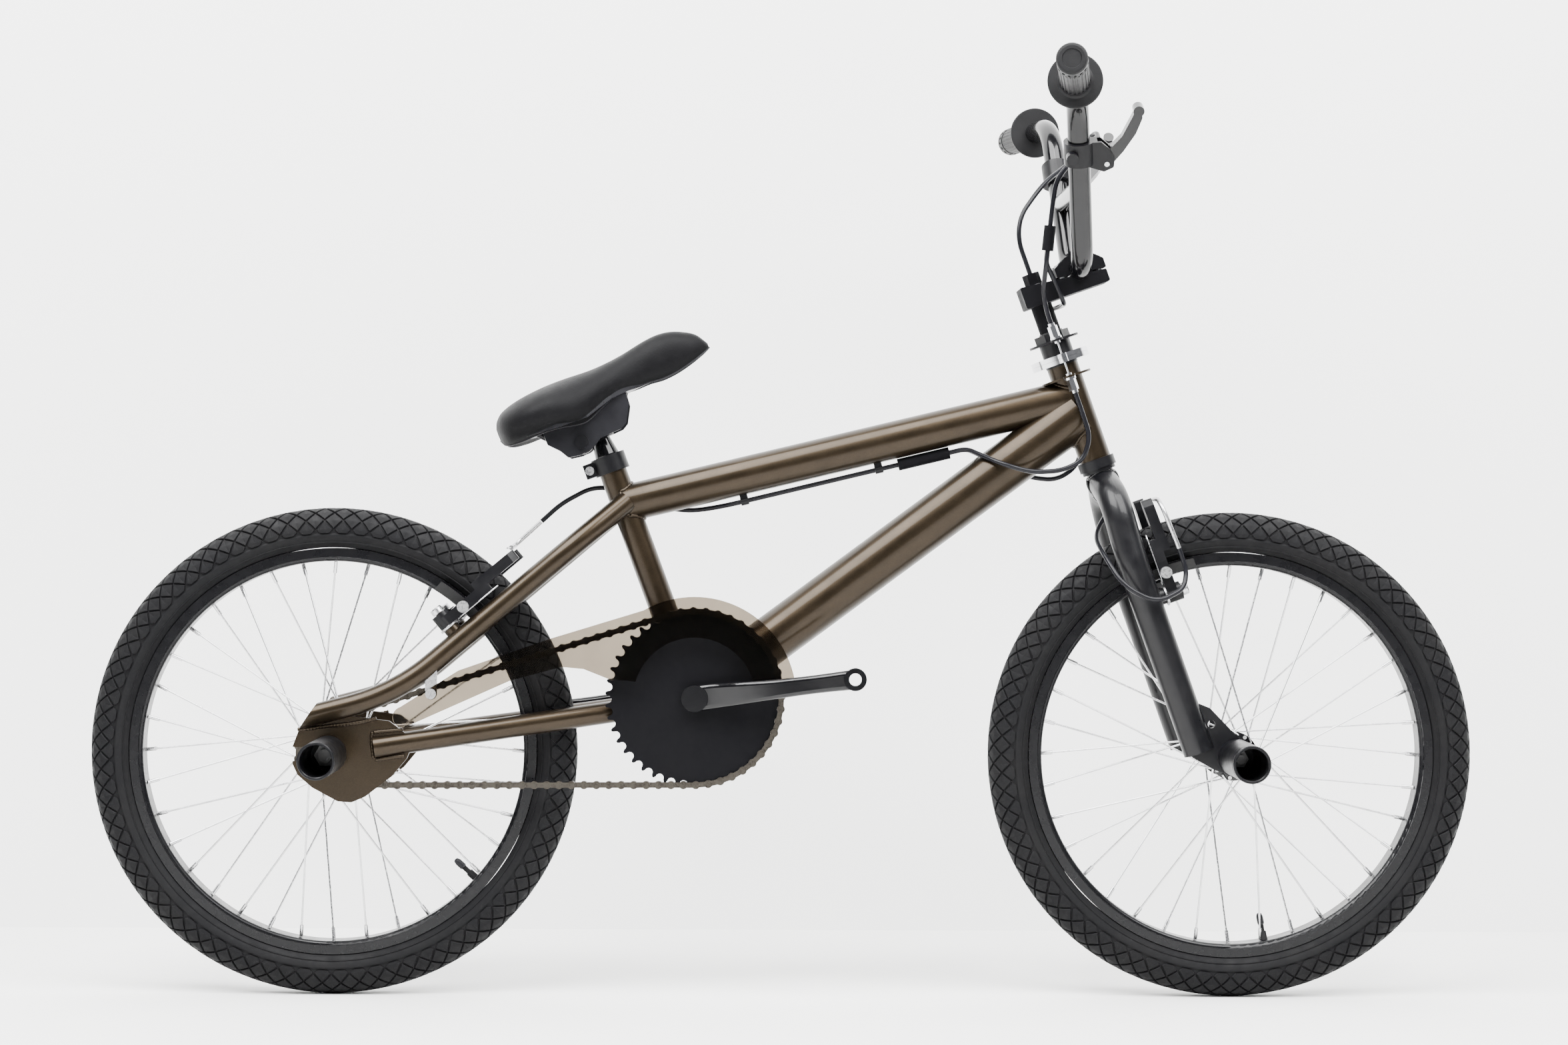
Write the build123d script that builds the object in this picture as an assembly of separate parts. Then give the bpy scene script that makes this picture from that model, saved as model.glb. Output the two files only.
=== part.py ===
from build123d import *
import math
import os

# A 20-inch freestyle BMX bike, as it comes apart on a bench: every tube, cup, cable and
# moving piece is its own node.  Millimetres.  +X points forward, +Y to the rider's left,
# +Z up.  The origin lies on the ground, midway between the two axles.

# ---------------------------------------------------------------- driving dimensions
wheelbase = 927.0
tyre_radius = 251.0
tyre_width = 47.0
tyre_wall = 3.0
rim_outer_radius = 209.5
rim_inner_radius = 196.0
rim_width = 31.4
rim_wall = 3.0
spoke_count = 36
spoke_diameter = 2.0
nipple_length = 12.0
nipple_diameter = 4.0

steering_tilt = 19.7            # degrees the steering axis leans back from vertical
fork_rake = 29.4
head_tube_length = 103.5
head_tube_diameter = 33.0
head_tube_bottom = 335.0        # along the steering axis, from abreast of the front hub
steerer_diameter = 25.4
steerer_bore = 22.3
crown_diameter = 28.6
fork_leg_diameter = 31.8
fork_leg_spread = 55.0
fork_leg_setback = 5.0
fork_leg_end = 18.0
front_hub_width = 100.0
fork_plate_thickness = 6.0
front_axle_diameter = 9.5

seat_tube_lean = 20.4           # degrees from vertical
seat_tube_diameter = 28.6
seat_tube_wall = 1.5
seat_tube_length = 262.0
top_tube_diameter = 39.0
down_tube_diameter = 50.8
stay_diameter = 22.2
frame_tube_wall = 2.0
bottom_bracket_height = 309.0
bottom_bracket_width = 68.0
bottom_bracket_radius = 28.5
bottom_bracket_wall = 2.8
rear_hub_width = 110.0
dropout_thickness = 5.0
rear_axle_diameter = 14.0

chain_pitch = 12.7
chain_links = 90
chainring_teeth = 44
freewheel_teeth = 16
chain_line = 44.0               # distance of the chain from the centre plane
sprocket_thickness = 3.0
roller_radius = 3.9
crank_length = 164.5
crank_rise = 7.5                # degrees the right-hand arm points above straight ahead
pedal_hole_radius = 6.35
spindle_diameter = 22.0
cone_radius = 15.0

peg_diameter = 38.0
peg_wall = 3.0
peg_length = 103.0
peg_base = 8.0

bar_diameter = 22.2
bar_wall = 2.4
bar_rise = 166.0
grip_length = 130.0
grip_diameter = 30.5
grip_flange_diameter = 54.6
grip_flange_thickness = 4.0
grip_cap = 4.0

stem_underside = 504.6          # along the steering axis
stem_width = 50.0
stem_rear_height = 23.3
stem_front_height = 13.1
stem_tail = 17.3
stem_nose = 73.6
bar_ahead = 47.2                # bar clamp, ahead of the steering axis
bar_above = 525.8               # bar clamp, along the steering axis
stem_cap_length = 51.6

rotor_diameter = 61.0
rotor_bore = 37.4
rotor_half = 4.6
rotor_seat = 445.0              # parting plane of the two rotor halves, along the axis
upper_plate_seat = 463.6
lower_plate_seat = 424.0
gyro_plate_thickness = 2.2
gyro_plate_radius = 26.3
gyro_lug_offset = 32.0
headset_sleeve_diameter = 32.6

housing_diameter = 5.0
wire_diameter = 1.6

brake_pivot_radius = 180.5      # distance of the brake pivots from the hub
brake_pad_radius = 203.0
brake_spread = 43.0             # pivots, either side of the centre plane
brake_arm_length = 92.0
pad_length = 70.0
pad_gap = 1.6
post_diameter = 8.0

saddle_tilt = 22.1
saddle_length = 238.0
saddle_width = 136.0
saddle_nose_width = 40.0
seat_post_diameter = 25.4
seat_post_neck = 19.2
seat_post_insertion = 150.0

running_clearance = 0.05

# ---------------------------------------------------------------- derived places
front_hub = Vector(wheelbase / 2, 0, tyre_radius)
rear_hub = Vector(-wheelbase / 2, 0, tyre_radius)
tilt = math.radians(steering_tilt)
steer_forward = Vector(math.cos(tilt), 0, math.sin(tilt))
steer_up = Vector(-math.sin(tilt), 0, math.cos(tilt))
STEER = Plane(origin=front_hub - steer_forward * fork_rake, x_dir=steer_forward, z_dir=steer_up)

tooth_difference = (chainring_teeth - freewheel_teeth) / (2 * math.pi)
free_links = chain_links - (chainring_teeth + freewheel_teeth) / 2
chain_stay_length = chain_pitch * (
    free_links + math.sqrt(free_links**2 - 8 * tooth_difference**2)) / 4
bracket_drop = bottom_bracket_height - tyre_radius
bracket_x = rear_hub.X + math.sqrt(chain_stay_length**2 - bracket_drop**2)
bottom_bracket = Vector(bracket_x, 0, bottom_bracket_height)

lean = math.radians(seat_tube_lean)
seat_up = Vector(-math.sin(lean), 0, math.cos(lean))
seat_forward = Vector(math.cos(lean), 0, math.sin(lean))
head_top = head_tube_bottom + head_tube_length
stay_joint = bottom_bracket + seat_up * 212.0
head_joint_high = STEER.from_local_coords(Vector(0, 0, head_top - 35.5))
head_joint_low = STEER.from_local_coords(Vector(0, 0, head_top - 52.0))

chainring_pitch_radius = chain_pitch / (2 * math.sin(math.pi / chainring_teeth))
freewheel_pitch_radius = chain_pitch / (2 * math.sin(math.pi / freewheel_teeth))
dropout_inner = rear_hub_width / 2
dropout_outer = dropout_inner + dropout_thickness
fork_plate_inner = front_hub_width / 2
fork_plate_outer = fork_plate_inner + fork_plate_thickness

CENTRE = (Align.CENTER, Align.CENTER, Align.CENTER)
BASE = (Align.CENTER, Align.CENTER, Align.MIN)
nodes = {}


# ---------------------------------------------------------------- helpers
def rod(start, end, radius, bore=0.0):
    """A round bar, or a tube when it has a bore, from one point to another."""
    start = Vector(start)
    end = Vector(end)
    place = Plane(origin=start, z_dir=end - start)
    length = (end - start).length
    body = place * Cylinder(radius, length, align=BASE)
    if bore > 0:
        body -= place * Cylinder(bore, length, align=BASE)
    return body


def cross_rod(centre, y_from, y_to, radius, bore=0.0):
    """A bar or tube along Y through a point of the side plane."""
    start = Vector(centre.X, y_from, centre.Z)
    end = Vector(centre.X, y_to, centre.Z)
    return rod(start, end, radius, bore)


def bend_radii(points, share=0.45):
    """The largest tangent arc that each corner's two runs allow."""
    radii = []
    for before, corner, after in zip(points, points[1:], points[2:]):
        run_in = corner - before
        run_out = after - corner
        turn = math.radians(run_in.get_angle(run_out))
        radii.append(share * min(run_in.length, run_out.length) / math.tan(turn / 2))
    return radii


def bent_rod(points, radius, bore=0.0, radii=None, share=0.45):
    """A rod or tube along straight runs joined by tangent arcs."""
    points = [Vector(p) for p in points]
    if radii is None:
        radii = bend_radii(points, share)
    path = FilletPolyline(*points, radius=radii)
    start = Plane(origin=points[0], z_dir=points[1] - points[0])
    section = start * Circle(radius)
    if bore > 0:
        section -= start * Circle(bore)
    return sweep(section, path=path, transition=Transition.RIGHT)


def mirrored(shape):
    return shape.mirror(Plane.XZ)


def both_sides(shape):
    """The shape and its mirror image across the bike's centre plane."""
    return [shape, mirrored(shape)]


def put(name, *shapes):
    """Keep the solids of a node, which are written at the end."""
    solids = []
    for shape in shapes:
        group = shape if isinstance(shape, (list, tuple)) else [shape]
        for item in group:
            solids.extend(item.solids())
    nodes[name] = solids


def steer(u, v, s):
    """A point given forward of, left of and along the steering axis."""
    return STEER.from_local_coords(Vector(u, v, s))


def steer_disc(radius, low, high, bore=0.0):
    """A ring about the steering axis between two heights along it."""
    return rod(steer(0, 0, low), steer(0, 0, high), radius, bore)


# ---------------------------------------------------------------- frame tubes
def seat_tube():
    tube = rod(bottom_bracket, bottom_bracket + seat_up * seat_tube_length,
               seat_tube_diameter / 2, seat_tube_diameter / 2 - seat_tube_wall)
    return tube - cross_rod(bottom_bracket, -60, 60, bottom_bracket_radius)


def head_tube():
    return steer_disc(head_tube_diameter / 2, head_tube_bottom, head_top,
                      head_tube_diameter / 2 - 3.0)


def main_tube(start, end, diameter, *neighbours):
    """A tube mitred against the tubes that it is welded to."""
    tube = rod(start, end, diameter / 2, diameter / 2 - frame_tube_wall)
    for neighbour in neighbours:
        tube -= neighbour
    return tube.solids().sort_by(SortBy.VOLUME)[-1]


def frame_tubes():
    head_solid = steer_disc(head_tube_diameter / 2, head_tube_bottom - 40, head_top + 40)
    seat_solid = rod(bottom_bracket, bottom_bracket + seat_up * 300, seat_tube_diameter / 2)
    shell_solid = cross_rod(bottom_bracket, -60, 60, bottom_bracket_radius)
    top = main_tube(stay_joint, head_joint_high, top_tube_diameter, head_solid, seat_solid)
    top_solid = rod(stay_joint, head_joint_high, top_tube_diameter / 2)
    down = main_tube(bottom_bracket, head_joint_low, down_tube_diameter,
                     head_solid, seat_solid, shell_solid, top_solid)
    put("head_tube", head_tube())
    put("seat_tube", seat_tube())
    put("top_tube", top)
    put("down_tube", down)
    put("bottom_bracket_shell",
        cross_rod(bottom_bracket, -bottom_bracket_width / 2, bottom_bracket_width / 2,
                  bottom_bracket_radius, bottom_bracket_radius - bottom_bracket_wall))
    return seat_solid, shell_solid, top_solid


# ---------------------------------------------------------------- rear triangle
stay_bend = Vector(rear_hub.X + 68.5, 61.0, rear_hub.Z + 62.0)
stay_tail = Vector(rear_hub.X - 33.0, 60.5, rear_hub.Z + 35.0)
chain_stay_end = Vector(rear_hub.X + 46.0, 59.0, rear_hub.Z + 7.0)


def rear_dropout():
    """The left-hand plate, with its slot open to the rear."""
    outline = Polyline((-17, 44), (-30, 24), (-36, 8), (-36, -10), (-31, -21), (-16, -34), (10, -48),
                       (24, -49), (38, -43), (66, -21), (80, -4), (84, 6), (78, 22), (62, 34), close=True)
    face = make_face(outline)
    face = fillet(face.vertices(), 4)
    slot = Pos(-30, 0) * Rectangle(60, rear_axle_diameter + 0.4)
    slot += Circle(rear_axle_diameter / 2 + 0.2)
    profile = face - slot
    upright = Plane(origin=(rear_hub.X, dropout_outer, rear_hub.Z), x_dir=(1, 0, 0),
                    z_dir=(0, -1, 0))
    return extrude(upright * profile, dropout_thickness)


def brake_frame(base, along, outward):
    """The place of one brake: x up the arm, z out along the pivot."""
    return Plane(origin=base, x_dir=along, z_dir=outward)


stay_run = (Vector(stay_joint.X, 0, stay_joint.Z) - Vector(stay_bend.X, 0, stay_bend.Z)).normalized()
stay_normal = Vector(-stay_run.Z, 0, stay_run.X)


def pivot_on_stay():
    """Where the seat stay passes at the brake pivots' distance from the hub."""
    start = Vector(stay_bend.X, 0, stay_bend.Z)
    offset = start - rear_hub
    half_b = offset.dot(stay_run)
    c = offset.dot(offset) - (brake_pivot_radius - 3.5)**2
    return start + stay_run * (-half_b + math.sqrt(half_b**2 - c))


REAR_BRAKE = brake_frame(pivot_on_stay() + stay_normal * (stay_diameter / 2), stay_run, stay_normal)
front_pivot_rise = math.sqrt(brake_pivot_radius**2 - 8.0**2)
FRONT_BRAKE = brake_frame(
    steer(fork_leg_diameter / 2 - fork_leg_setback, 0, front_pivot_rise),
    steer_up, steer_forward)


def brake_post(place):
    """Boss and threaded post for one brake arm, on the +y side of its place."""
    boss = Pos(0, brake_spread, -6) * Cylinder(8.5, 11, align=BASE)
    post = Pos(0, brake_spread, 5) * Cylinder(post_diameter / 2, 19, align=BASE)
    return place * (boss + post)


def rear_stays(seat_solid, shell_solid, top_solid):
    plate = rear_dropout()
    high_start = stay_joint + stay_run * 4 + Vector(0, 13, 0)
    knee = stay_joint - stay_run * 62 + Vector(0, 37, 0)
    at_boss = stay_joint - stay_run * 190 + Vector(0, 44.5, 0)
    seat_stay = bent_rod([high_start, knee, at_boss, stay_bend, stay_tail], stay_diameter / 2,
                         stay_diameter / 2 - 1.6)
    seat_stay -= seat_solid
    seat_stay -= top_solid
    seat_stay -= plate
    mitre = Plane(origin=rear_hub + Vector(-22.3, 60.5, 35.7), x_dir=(0.56, 0, 0.83), z_dir=(0, 1, 0))
    seat_stay -= mitre * Box(90, 60, 60, align=(Align.CENTER, Align.MAX, Align.CENTER))
    seat_stay = seat_stay.solids().sort_by(SortBy.VOLUME)[-1]
    seat_stay += brake_post(REAR_BRAKE)
    chain_stay = rod(bottom_bracket + Vector(0, 16, -3), chain_stay_end, stay_diameter / 2,
                     stay_diameter / 2 - 1.6)
    chain_stay -= shell_solid
    chain_stay -= plate
    chain_stay = chain_stay.solids().sort_by(SortBy.VOLUME)[-1]
    put("seat_stays", both_sides(seat_stay))
    put("chain_stays", both_sides(chain_stay))
    put("rear_dropouts", both_sides(plate))


# ---------------------------------------------------------------- bearings and axles
def bearing_cups():
    """Pressed cups: two in the head tube, two in the bottom bracket shell."""
    inner = head_tube_diameter / 2 - 3.0
    lower = steer_disc(19.5, head_tube_bottom - 10, head_tube_bottom, 14.6)
    lower += steer_disc(inner, head_tube_bottom, head_tube_bottom + 10, 14.6)
    upper = steer_disc(17.0, head_top, head_top + 7.5, 14.6)
    upper += steer_disc(inner, head_top - 10, head_top, 14.6)
    half = bottom_bracket_width / 2
    bore = bottom_bracket_radius - bottom_bracket_wall
    cup = cross_rod(bottom_bracket, half - 9, half, bore, cone_radius + running_clearance)
    cup += cross_rod(bottom_bracket, half, half + 2.5, bottom_bracket_radius + 0.8,
                     cone_radius + running_clearance)
    put("bearing_cups", lower, upper, both_sides(cup))


def hex_ring(centre, y_from, y_to, across_flats, bore):
    """A hexagon nut on an axle along Y."""
    place = Plane(origin=(centre.X, y_from, centre.Z), x_dir=(1, 0, 0), z_dir=(0, 1, 0))
    radius = across_flats / math.sqrt(3)
    return extrude(place * (RegularPolygon(radius, 6) - Circle(bore)), y_to - y_from)


def axle(hub, radius, plate_outer):
    """The axle and, inside each peg, its nut."""
    bar = cross_rod(hub, -plate_outer - 28, plate_outer + 28, radius)
    nut = hex_ring(hub, plate_outer + peg_base + 0.1, plate_outer + peg_base + 10, radius * 2 + 7,
                   radius + 0.01)
    return [bar] + both_sides(nut)


def peg(hub, plate_outer, axle_radius):
    """A hollow peg on the left end of an axle, with a thicker lip at its open end."""
    start = plate_outer + 0.1
    end = start + peg_length
    body = cross_rod(hub, start, end, peg_diameter / 2)
    body -= cross_rod(hub, start + peg_base, end + 1, peg_diameter / 2 - peg_wall)
    body -= cross_rod(hub, start - 1, end, axle_radius + 0.3)
    groove = cross_rod(hub, end - 9, end - 7.5, peg_diameter / 2 + 1, peg_diameter / 2 - 0.5)
    body -= groove
    outer_edge = body.edges().filter_by(GeomType.CIRCLE).sort_by(Axis.Y)[-2:]
    return chamfer(outer_edge, 0.8)


# ---------------------------------------------------------------- wheels
def rim(hub):
    """A channel-section rim with flat braking sides."""
    half = rim_width / 2
    outer = Pos((rim_outer_radius + rim_inner_radius) / 2, 0) * Rectangle(
        rim_outer_radius - rim_inner_radius, rim_width)
    bed = Pos(rim_inner_radius + rim_wall, 0) * Rectangle(
        2 * (rim_outer_radius - rim_inner_radius), rim_width - 2 * rim_wall,
        align=(Align.MIN, Align.CENTER))
    section = outer - bed
    corners = section.vertices().filter_by_position(Axis.X, rim_inner_radius - 1, rim_inner_radius + 1)
    section = fillet(corners, 4.0)
    groove = Pos(rim_inner_radius + 4.2, half) * Circle(0.5)
    groove += Pos(rim_inner_radius + 4.2, -half) * Circle(0.5)
    section -= groove
    place = Plane(origin=hub, x_dir=(1, 0, 0), z_dir=(0, 0, 1))
    return revolve(place * section, axis=Axis(hub, (0, 1, 0)))


def tyre(hub):
    """A hollow casing whose beads stand inside the rim's walls."""
    section_radius = tyre_width / 2
    middle = tyre_radius - section_radius
    inner_half = rim_width / 2 - rim_wall
    casing = Pos(middle, 0) * (Circle(section_radius) - Circle(section_radius - tyre_wall))
    lip = rim_outer_radius + 0.2
    casing -= Pos(lip, 0) * Rectangle(80, 80, align=(Align.MAX, Align.CENTER))
    reach = math.sqrt(section_radius**2 - (middle - lip)**2)
    bead_low = rim_inner_radius + rim_wall + 4.5
    for side in (1, -1):
        bead = make_face(Polyline(
            (bead_low, side * (inner_half - 0.1)), (lip, side * (inner_half - 0.1)),
            (lip + 0.01, side * reach), (lip + 3.0, side * (reach + 0.6)),
            (lip + 3.0, side * (inner_half - 3.4)), (bead_low, side * (inner_half - 3.4)),
            close=True))
        casing += bead
    place = Plane(origin=hub, x_dir=(1, 0, 0), z_dir=(0, 0, 1))
    return revolve(place * casing, axis=Axis(hub, (0, 1, 0)))


flange_offset = 33.0
flange_radius = 25.2
flange_thickness = 2.8
flange_bevel = 1.6              # the outward face falls away toward the rim of the flange
bevel_start = 20.0              # radius where that fall begins
spoke_circle = 22.5
spoke_standoff = 1.7            # wire centre, off the flange's face at its bend
hub_body_radius = 13.0


def hub_shell(hub, axle_radius, width, freewheel_side):
    """The hub's shell, running on its axle, with locknuts at both ends."""
    bore = axle_radius + running_clearance
    body = cross_rod(hub, -flange_offset, flange_offset, hub_body_radius)
    for side in (1, -1):
        middle = side * flange_offset
        inward = middle - side * flange_thickness / 2
        shoulder = middle + side * (flange_thickness / 2 - flange_bevel)
        body += cross_rod(hub, inward, shoulder, flange_radius)
        slope = Plane(origin=hub + Vector(0, shoulder, 0), z_dir=(0, side, 0))
        body += slope * Cone(flange_radius, bevel_start, flange_bevel, align=BASE)
        body += cross_rod(hub, middle, side * (width / 2 - 9), 14.5)
    if freewheel_side:
        body += cross_rod(hub, -flange_offset, -chain_line - 2.0, freewheel_bore)
    body -= cross_rod(hub, -width, width, bore)
    for side in (1, -1):
        for number in range(spoke_count // 2):
            angle = hole_angle(number, side)
            body -= spoke_hole(hub, angle, side)
    return body


def hole_angle(number, side):
    """Spoke holes are evenly spaced, the left flange half a step on."""
    step = 360 / (spoke_count // 2)
    return number * step + (step / 2 if side > 0 else 0)


def spoke_hole(hub, angle, side):
    a = math.radians(angle)
    at = hub + Vector(spoke_circle * math.cos(a), 0, spoke_circle * math.sin(a))
    return cross_rod(at, side * flange_offset - 3, side * flange_offset + 3, spoke_diameter / 2 + 0.25)


def spoke(hub, number, side):
    """One spoke, crossing three others, with its bent head and its nipple."""
    angle = hole_angle(number, side)
    outside = number % 2 == 0
    turn = 1 if outside else -1
    face = side * (flange_offset + turn * (flange_thickness / 2 + spoke_standoff))
    other_face = side * (flange_offset - turn * (flange_thickness / 2 + 0.1))
    head_face = side * (flange_offset - turn * (flange_thickness / 2 + 1.3))
    a = math.radians(angle)
    step = 360 / (spoke_count // 2)
    rim_turn = 3 * step
    b = math.radians(angle + turn * rim_turn)
    start = hub + Vector(spoke_circle * math.cos(a), face, spoke_circle * math.sin(a))
    seat = rim_inner_radius - 0.6
    end = hub + Vector(seat * math.cos(b), 0, seat * math.sin(b))
    along = (end - start).normalized()
    join = end - along * nipple_length
    wire = rod(start, join, spoke_diameter / 2)
    neck = rod(start, Vector(start.X, other_face, start.Z), spoke_diameter / 2)
    elbow = Pos(*start) * Sphere(spoke_diameter / 2)
    head = rod(Vector(start.X, other_face, start.Z), Vector(start.X, head_face, start.Z), 1.9)
    nipple = rod(join, end, nipple_diameter / 2)
    return [wire + elbow + neck + head, nipple]


def spokes(hub):
    solids = []
    for side in (1, -1):
        for number in range(spoke_count // 2):
            solids.extend(spoke(hub, number, side))
    return solids


# ---------------------------------------------------------------- chain drive
freewheel_bore = 17.0


def toothed_disc(centre, teeth, pitch_radius, phase, thickness, bore):
    """A sprocket whose gaps sit on the chain's rollers; phase is the angle of one gap."""
    tip = pitch_radius + 2.4
    tooth = make_face(Polyline((pitch_radius - 2, -2.8), (pitch_radius, -2.3), (tip, -0.9), (tip, 0.9),
                               (pitch_radius, 2.3), (pitch_radius - 2, 2.8), close=True))
    gap = Pos(pitch_radius, 0) * Circle(roller_radius + 0.25)
    profile = Circle(pitch_radius - 0.5) - Circle(bore)
    step = 360 / teeth
    for number in range(teeth):
        profile += Rot(0, 0, phase + (number + 0.5) * step) * tooth
    for number in range(teeth):
        profile -= Rot(0, 0, phase + number * step) * gap
    place = Plane(origin=(centre.X, -chain_line + thickness / 2, centre.Z), x_dir=(1, 0, 0),
                  z_dir=(0, -1, 0))
    return extrude(place * profile, thickness)


drive_line = bottom_bracket - rear_hub
drive_angle = math.atan2(drive_line.Z, drive_line.X)
contact_angle = math.acos((freewheel_pitch_radius - chainring_pitch_radius) / chain_stay_length)
upper_contact = drive_angle + contact_angle
lower_contact = drive_angle - contact_angle
straight_run = math.sqrt(
    chain_stay_length**2 - (chainring_pitch_radius - freewheel_pitch_radius)**2)
ring_step = 2 * math.pi / chainring_teeth
free_step = 2 * math.pi / freewheel_teeth
ring_count = 2 * contact_angle / ring_step
straight_count = straight_run / chain_pitch
free_count = (2 * math.pi - 2 * contact_angle) / free_step


def polar(radius, angle):
    return Vector(radius * math.cos(angle), 0, radius * math.sin(angle))


def between(start, end, share):
    return start + (end - start) * share


def chain_stations():
    """Roller centres round the closed loop, starting at the chainring's upper contact."""
    lower_ring = bottom_bracket + polar(chainring_pitch_radius, lower_contact)
    upper_ring = bottom_bracket + polar(chainring_pitch_radius, upper_contact)
    lower_free = rear_hub + polar(freewheel_pitch_radius, lower_contact)
    upper_free = rear_hub + polar(freewheel_pitch_radius, upper_contact)
    total = ring_count + 2 * straight_count + free_count
    stations = []
    for number in range(chain_links):
        place = number * total / chain_links
        if place < ring_count:
            angle = upper_contact - place * ring_step
            stations.append(bottom_bracket + polar(chainring_pitch_radius, angle))
        elif place < ring_count + straight_count:
            share = (place - ring_count) / straight_count
            stations.append(between(lower_ring, lower_free, share))
        elif place < ring_count + straight_count + free_count:
            angle = lower_contact - (place - ring_count - straight_count) * free_step
            stations.append(rear_hub + polar(freewheel_pitch_radius, angle))
        else:
            share = (place - ring_count - straight_count - free_count) / straight_count
            stations.append(between(upper_free, upper_ring, share))
    return stations


plate_height = 8.2
plate_waist = 5.4
pin_radius = 1.8
pin_slack = 0.3
inner_width = sprocket_thickness + 0.5


def link_plate(inner_face, hole):
    """Both plates of a link, lying along x from its first pin."""
    outline = Circle(plate_height / 2) + Pos(chain_pitch, 0) * Circle(plate_height / 2)
    outline += Pos(chain_pitch / 2, 0) * Rectangle(chain_pitch, plate_waist)
    if hole > 0:
        outline -= Circle(hole)
        outline -= Pos(chain_pitch, 0) * Circle(hole)
    plate = extrude(outline, 1.0)
    return Pos(0, 0, inner_face) * plate + Pos(0, 0, -inner_face - 1.0) * plate


def outer_link():
    face = inner_width / 2 + 1.15
    link = link_plate(face, 0)
    for x in (0, chain_pitch):
        link += Pos(x, 0, 0) * Cylinder(pin_radius, 2 * face + 2.4, align=CENTRE)
    return link


def inner_link():
    face = inner_width / 2
    link = link_plate(face, pin_radius + pin_slack)
    for x in (0, chain_pitch):
        roller = Cylinder(roller_radius, inner_width, align=CENTRE)
        roller -= Cylinder(pin_radius + pin_slack, inner_width, align=CENTRE)
        link += Pos(x, 0, 0) * roller
    return link


def chain():
    """Outer and inner links by turns; each lies between two neighbouring rollers."""
    stations = chain_stations()
    kinds = [outer_link(), inner_link()]
    links = []
    for number, station in enumerate(stations):
        following = stations[(number + 1) % chain_links]
        origin = Vector(station.X, -chain_line, station.Z)
        place = Plane(origin=origin, x_dir=following - station, z_dir=(0, -1, 0))
        links.append(place.location * kinds[number % 2])
    return links


def chainring():
    return toothed_disc(bottom_bracket, chainring_teeth, chainring_pitch_radius,
                        math.degrees(upper_contact), sprocket_thickness,
                        spindle_diameter / 2 + 0.01)


def freewheel():
    phase = math.degrees(lower_contact + (ring_count + straight_count) * free_step)
    return toothed_disc(rear_hub, freewheel_teeth, freewheel_pitch_radius, phase,
                        sprocket_thickness, freewheel_bore + running_clearance)


# ---------------------------------------------------------------- crank
crank_angle = math.radians(crank_rise)
arm_boss_offset = 52.2          # middle of the arm where it leaves the spindle, off centre
arm_tip_offset = 80.0           # middle of the arm at the pedal
arm_tip_radius = 11.6


def crank_arm():
    """The right-hand arm: it leaves the spindle close to the chainring and flares outward."""
    along = Vector(math.cos(crank_angle), 0, math.sin(crank_angle))
    stations = [
        (0.0, arm_boss_offset, 13.0, 27.0),
        (24.0, arm_boss_offset + 2.5, 13.0, 26.5),
        (62.0, 71.8, 11.5, 22.0),
        (100.0, 76.0, 11.0, 19.0),
        (crank_length - 14, arm_tip_offset - 0.5, 11.6, 19.6),
        (crank_length, arm_tip_offset, 12.0, 20.6)]
    sections = []
    for reach, offset, thickness, width in stations:
        place = Plane(origin=bottom_bracket + along * reach + Vector(0, -offset, 0),
                      x_dir=(0, -1, 0), z_dir=along)
        sections.append(place * RectangleRounded(thickness, width, thickness * 0.38))
    arm = loft(Sketch() + sections)
    arm += cross_rod(bottom_bracket, -arm_boss_offset - 6.5, -arm_boss_offset + 6.5, 13.6)
    arm -= cross_rod(bottom_bracket, -chain_line - sprocket_thickness / 2 - 0.1, 0,
                     chainring_pitch_radius + 20)
    pedal = bottom_bracket + along * crank_length
    arm += cross_rod(pedal, -arm_tip_offset - 6.0, -arm_tip_offset + 6.0, arm_tip_radius)
    arm -= cross_rod(pedal, -arm_tip_offset - 7.0, -arm_tip_offset + 7.0, pedal_hole_radius)
    return arm


def crank():
    """Both arms and the spindle in one forging, with the cones that the balls run on."""
    right = crank_arm()
    left = mirrored(right).rotate(Axis(bottom_bracket, (0, 1, 0)), 180)
    forging = cross_rod(bottom_bracket, -arm_boss_offset, arm_boss_offset, spindle_diameter / 2)
    forging += right
    forging += left
    half = bottom_bracket_width / 2
    right_cone = cross_rod(bottom_bracket, -half + 6, -chain_line + sprocket_thickness / 2 + 0.1,
                           cone_radius, spindle_diameter / 2 + 0.01)
    left_cone = cross_rod(bottom_bracket, half - 6, arm_boss_offset - 6.6, cone_radius,
                          spindle_diameter / 2 + 0.01)
    return [forging, right_cone, left_cone]


# ---------------------------------------------------------------- chain guard
guard_outer = 104.0
guard_inner = 62.5
guard_thickness = 2.5
guard_offset = dropout_outer + 1.2
guard_screw = Vector(bracket_x - 268.0, 0, bottom_bracket_height + 4.0)


def ring_point(radius, degrees):
    return (radius * math.cos(math.radians(degrees)), radius * math.sin(math.radians(degrees)))


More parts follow.
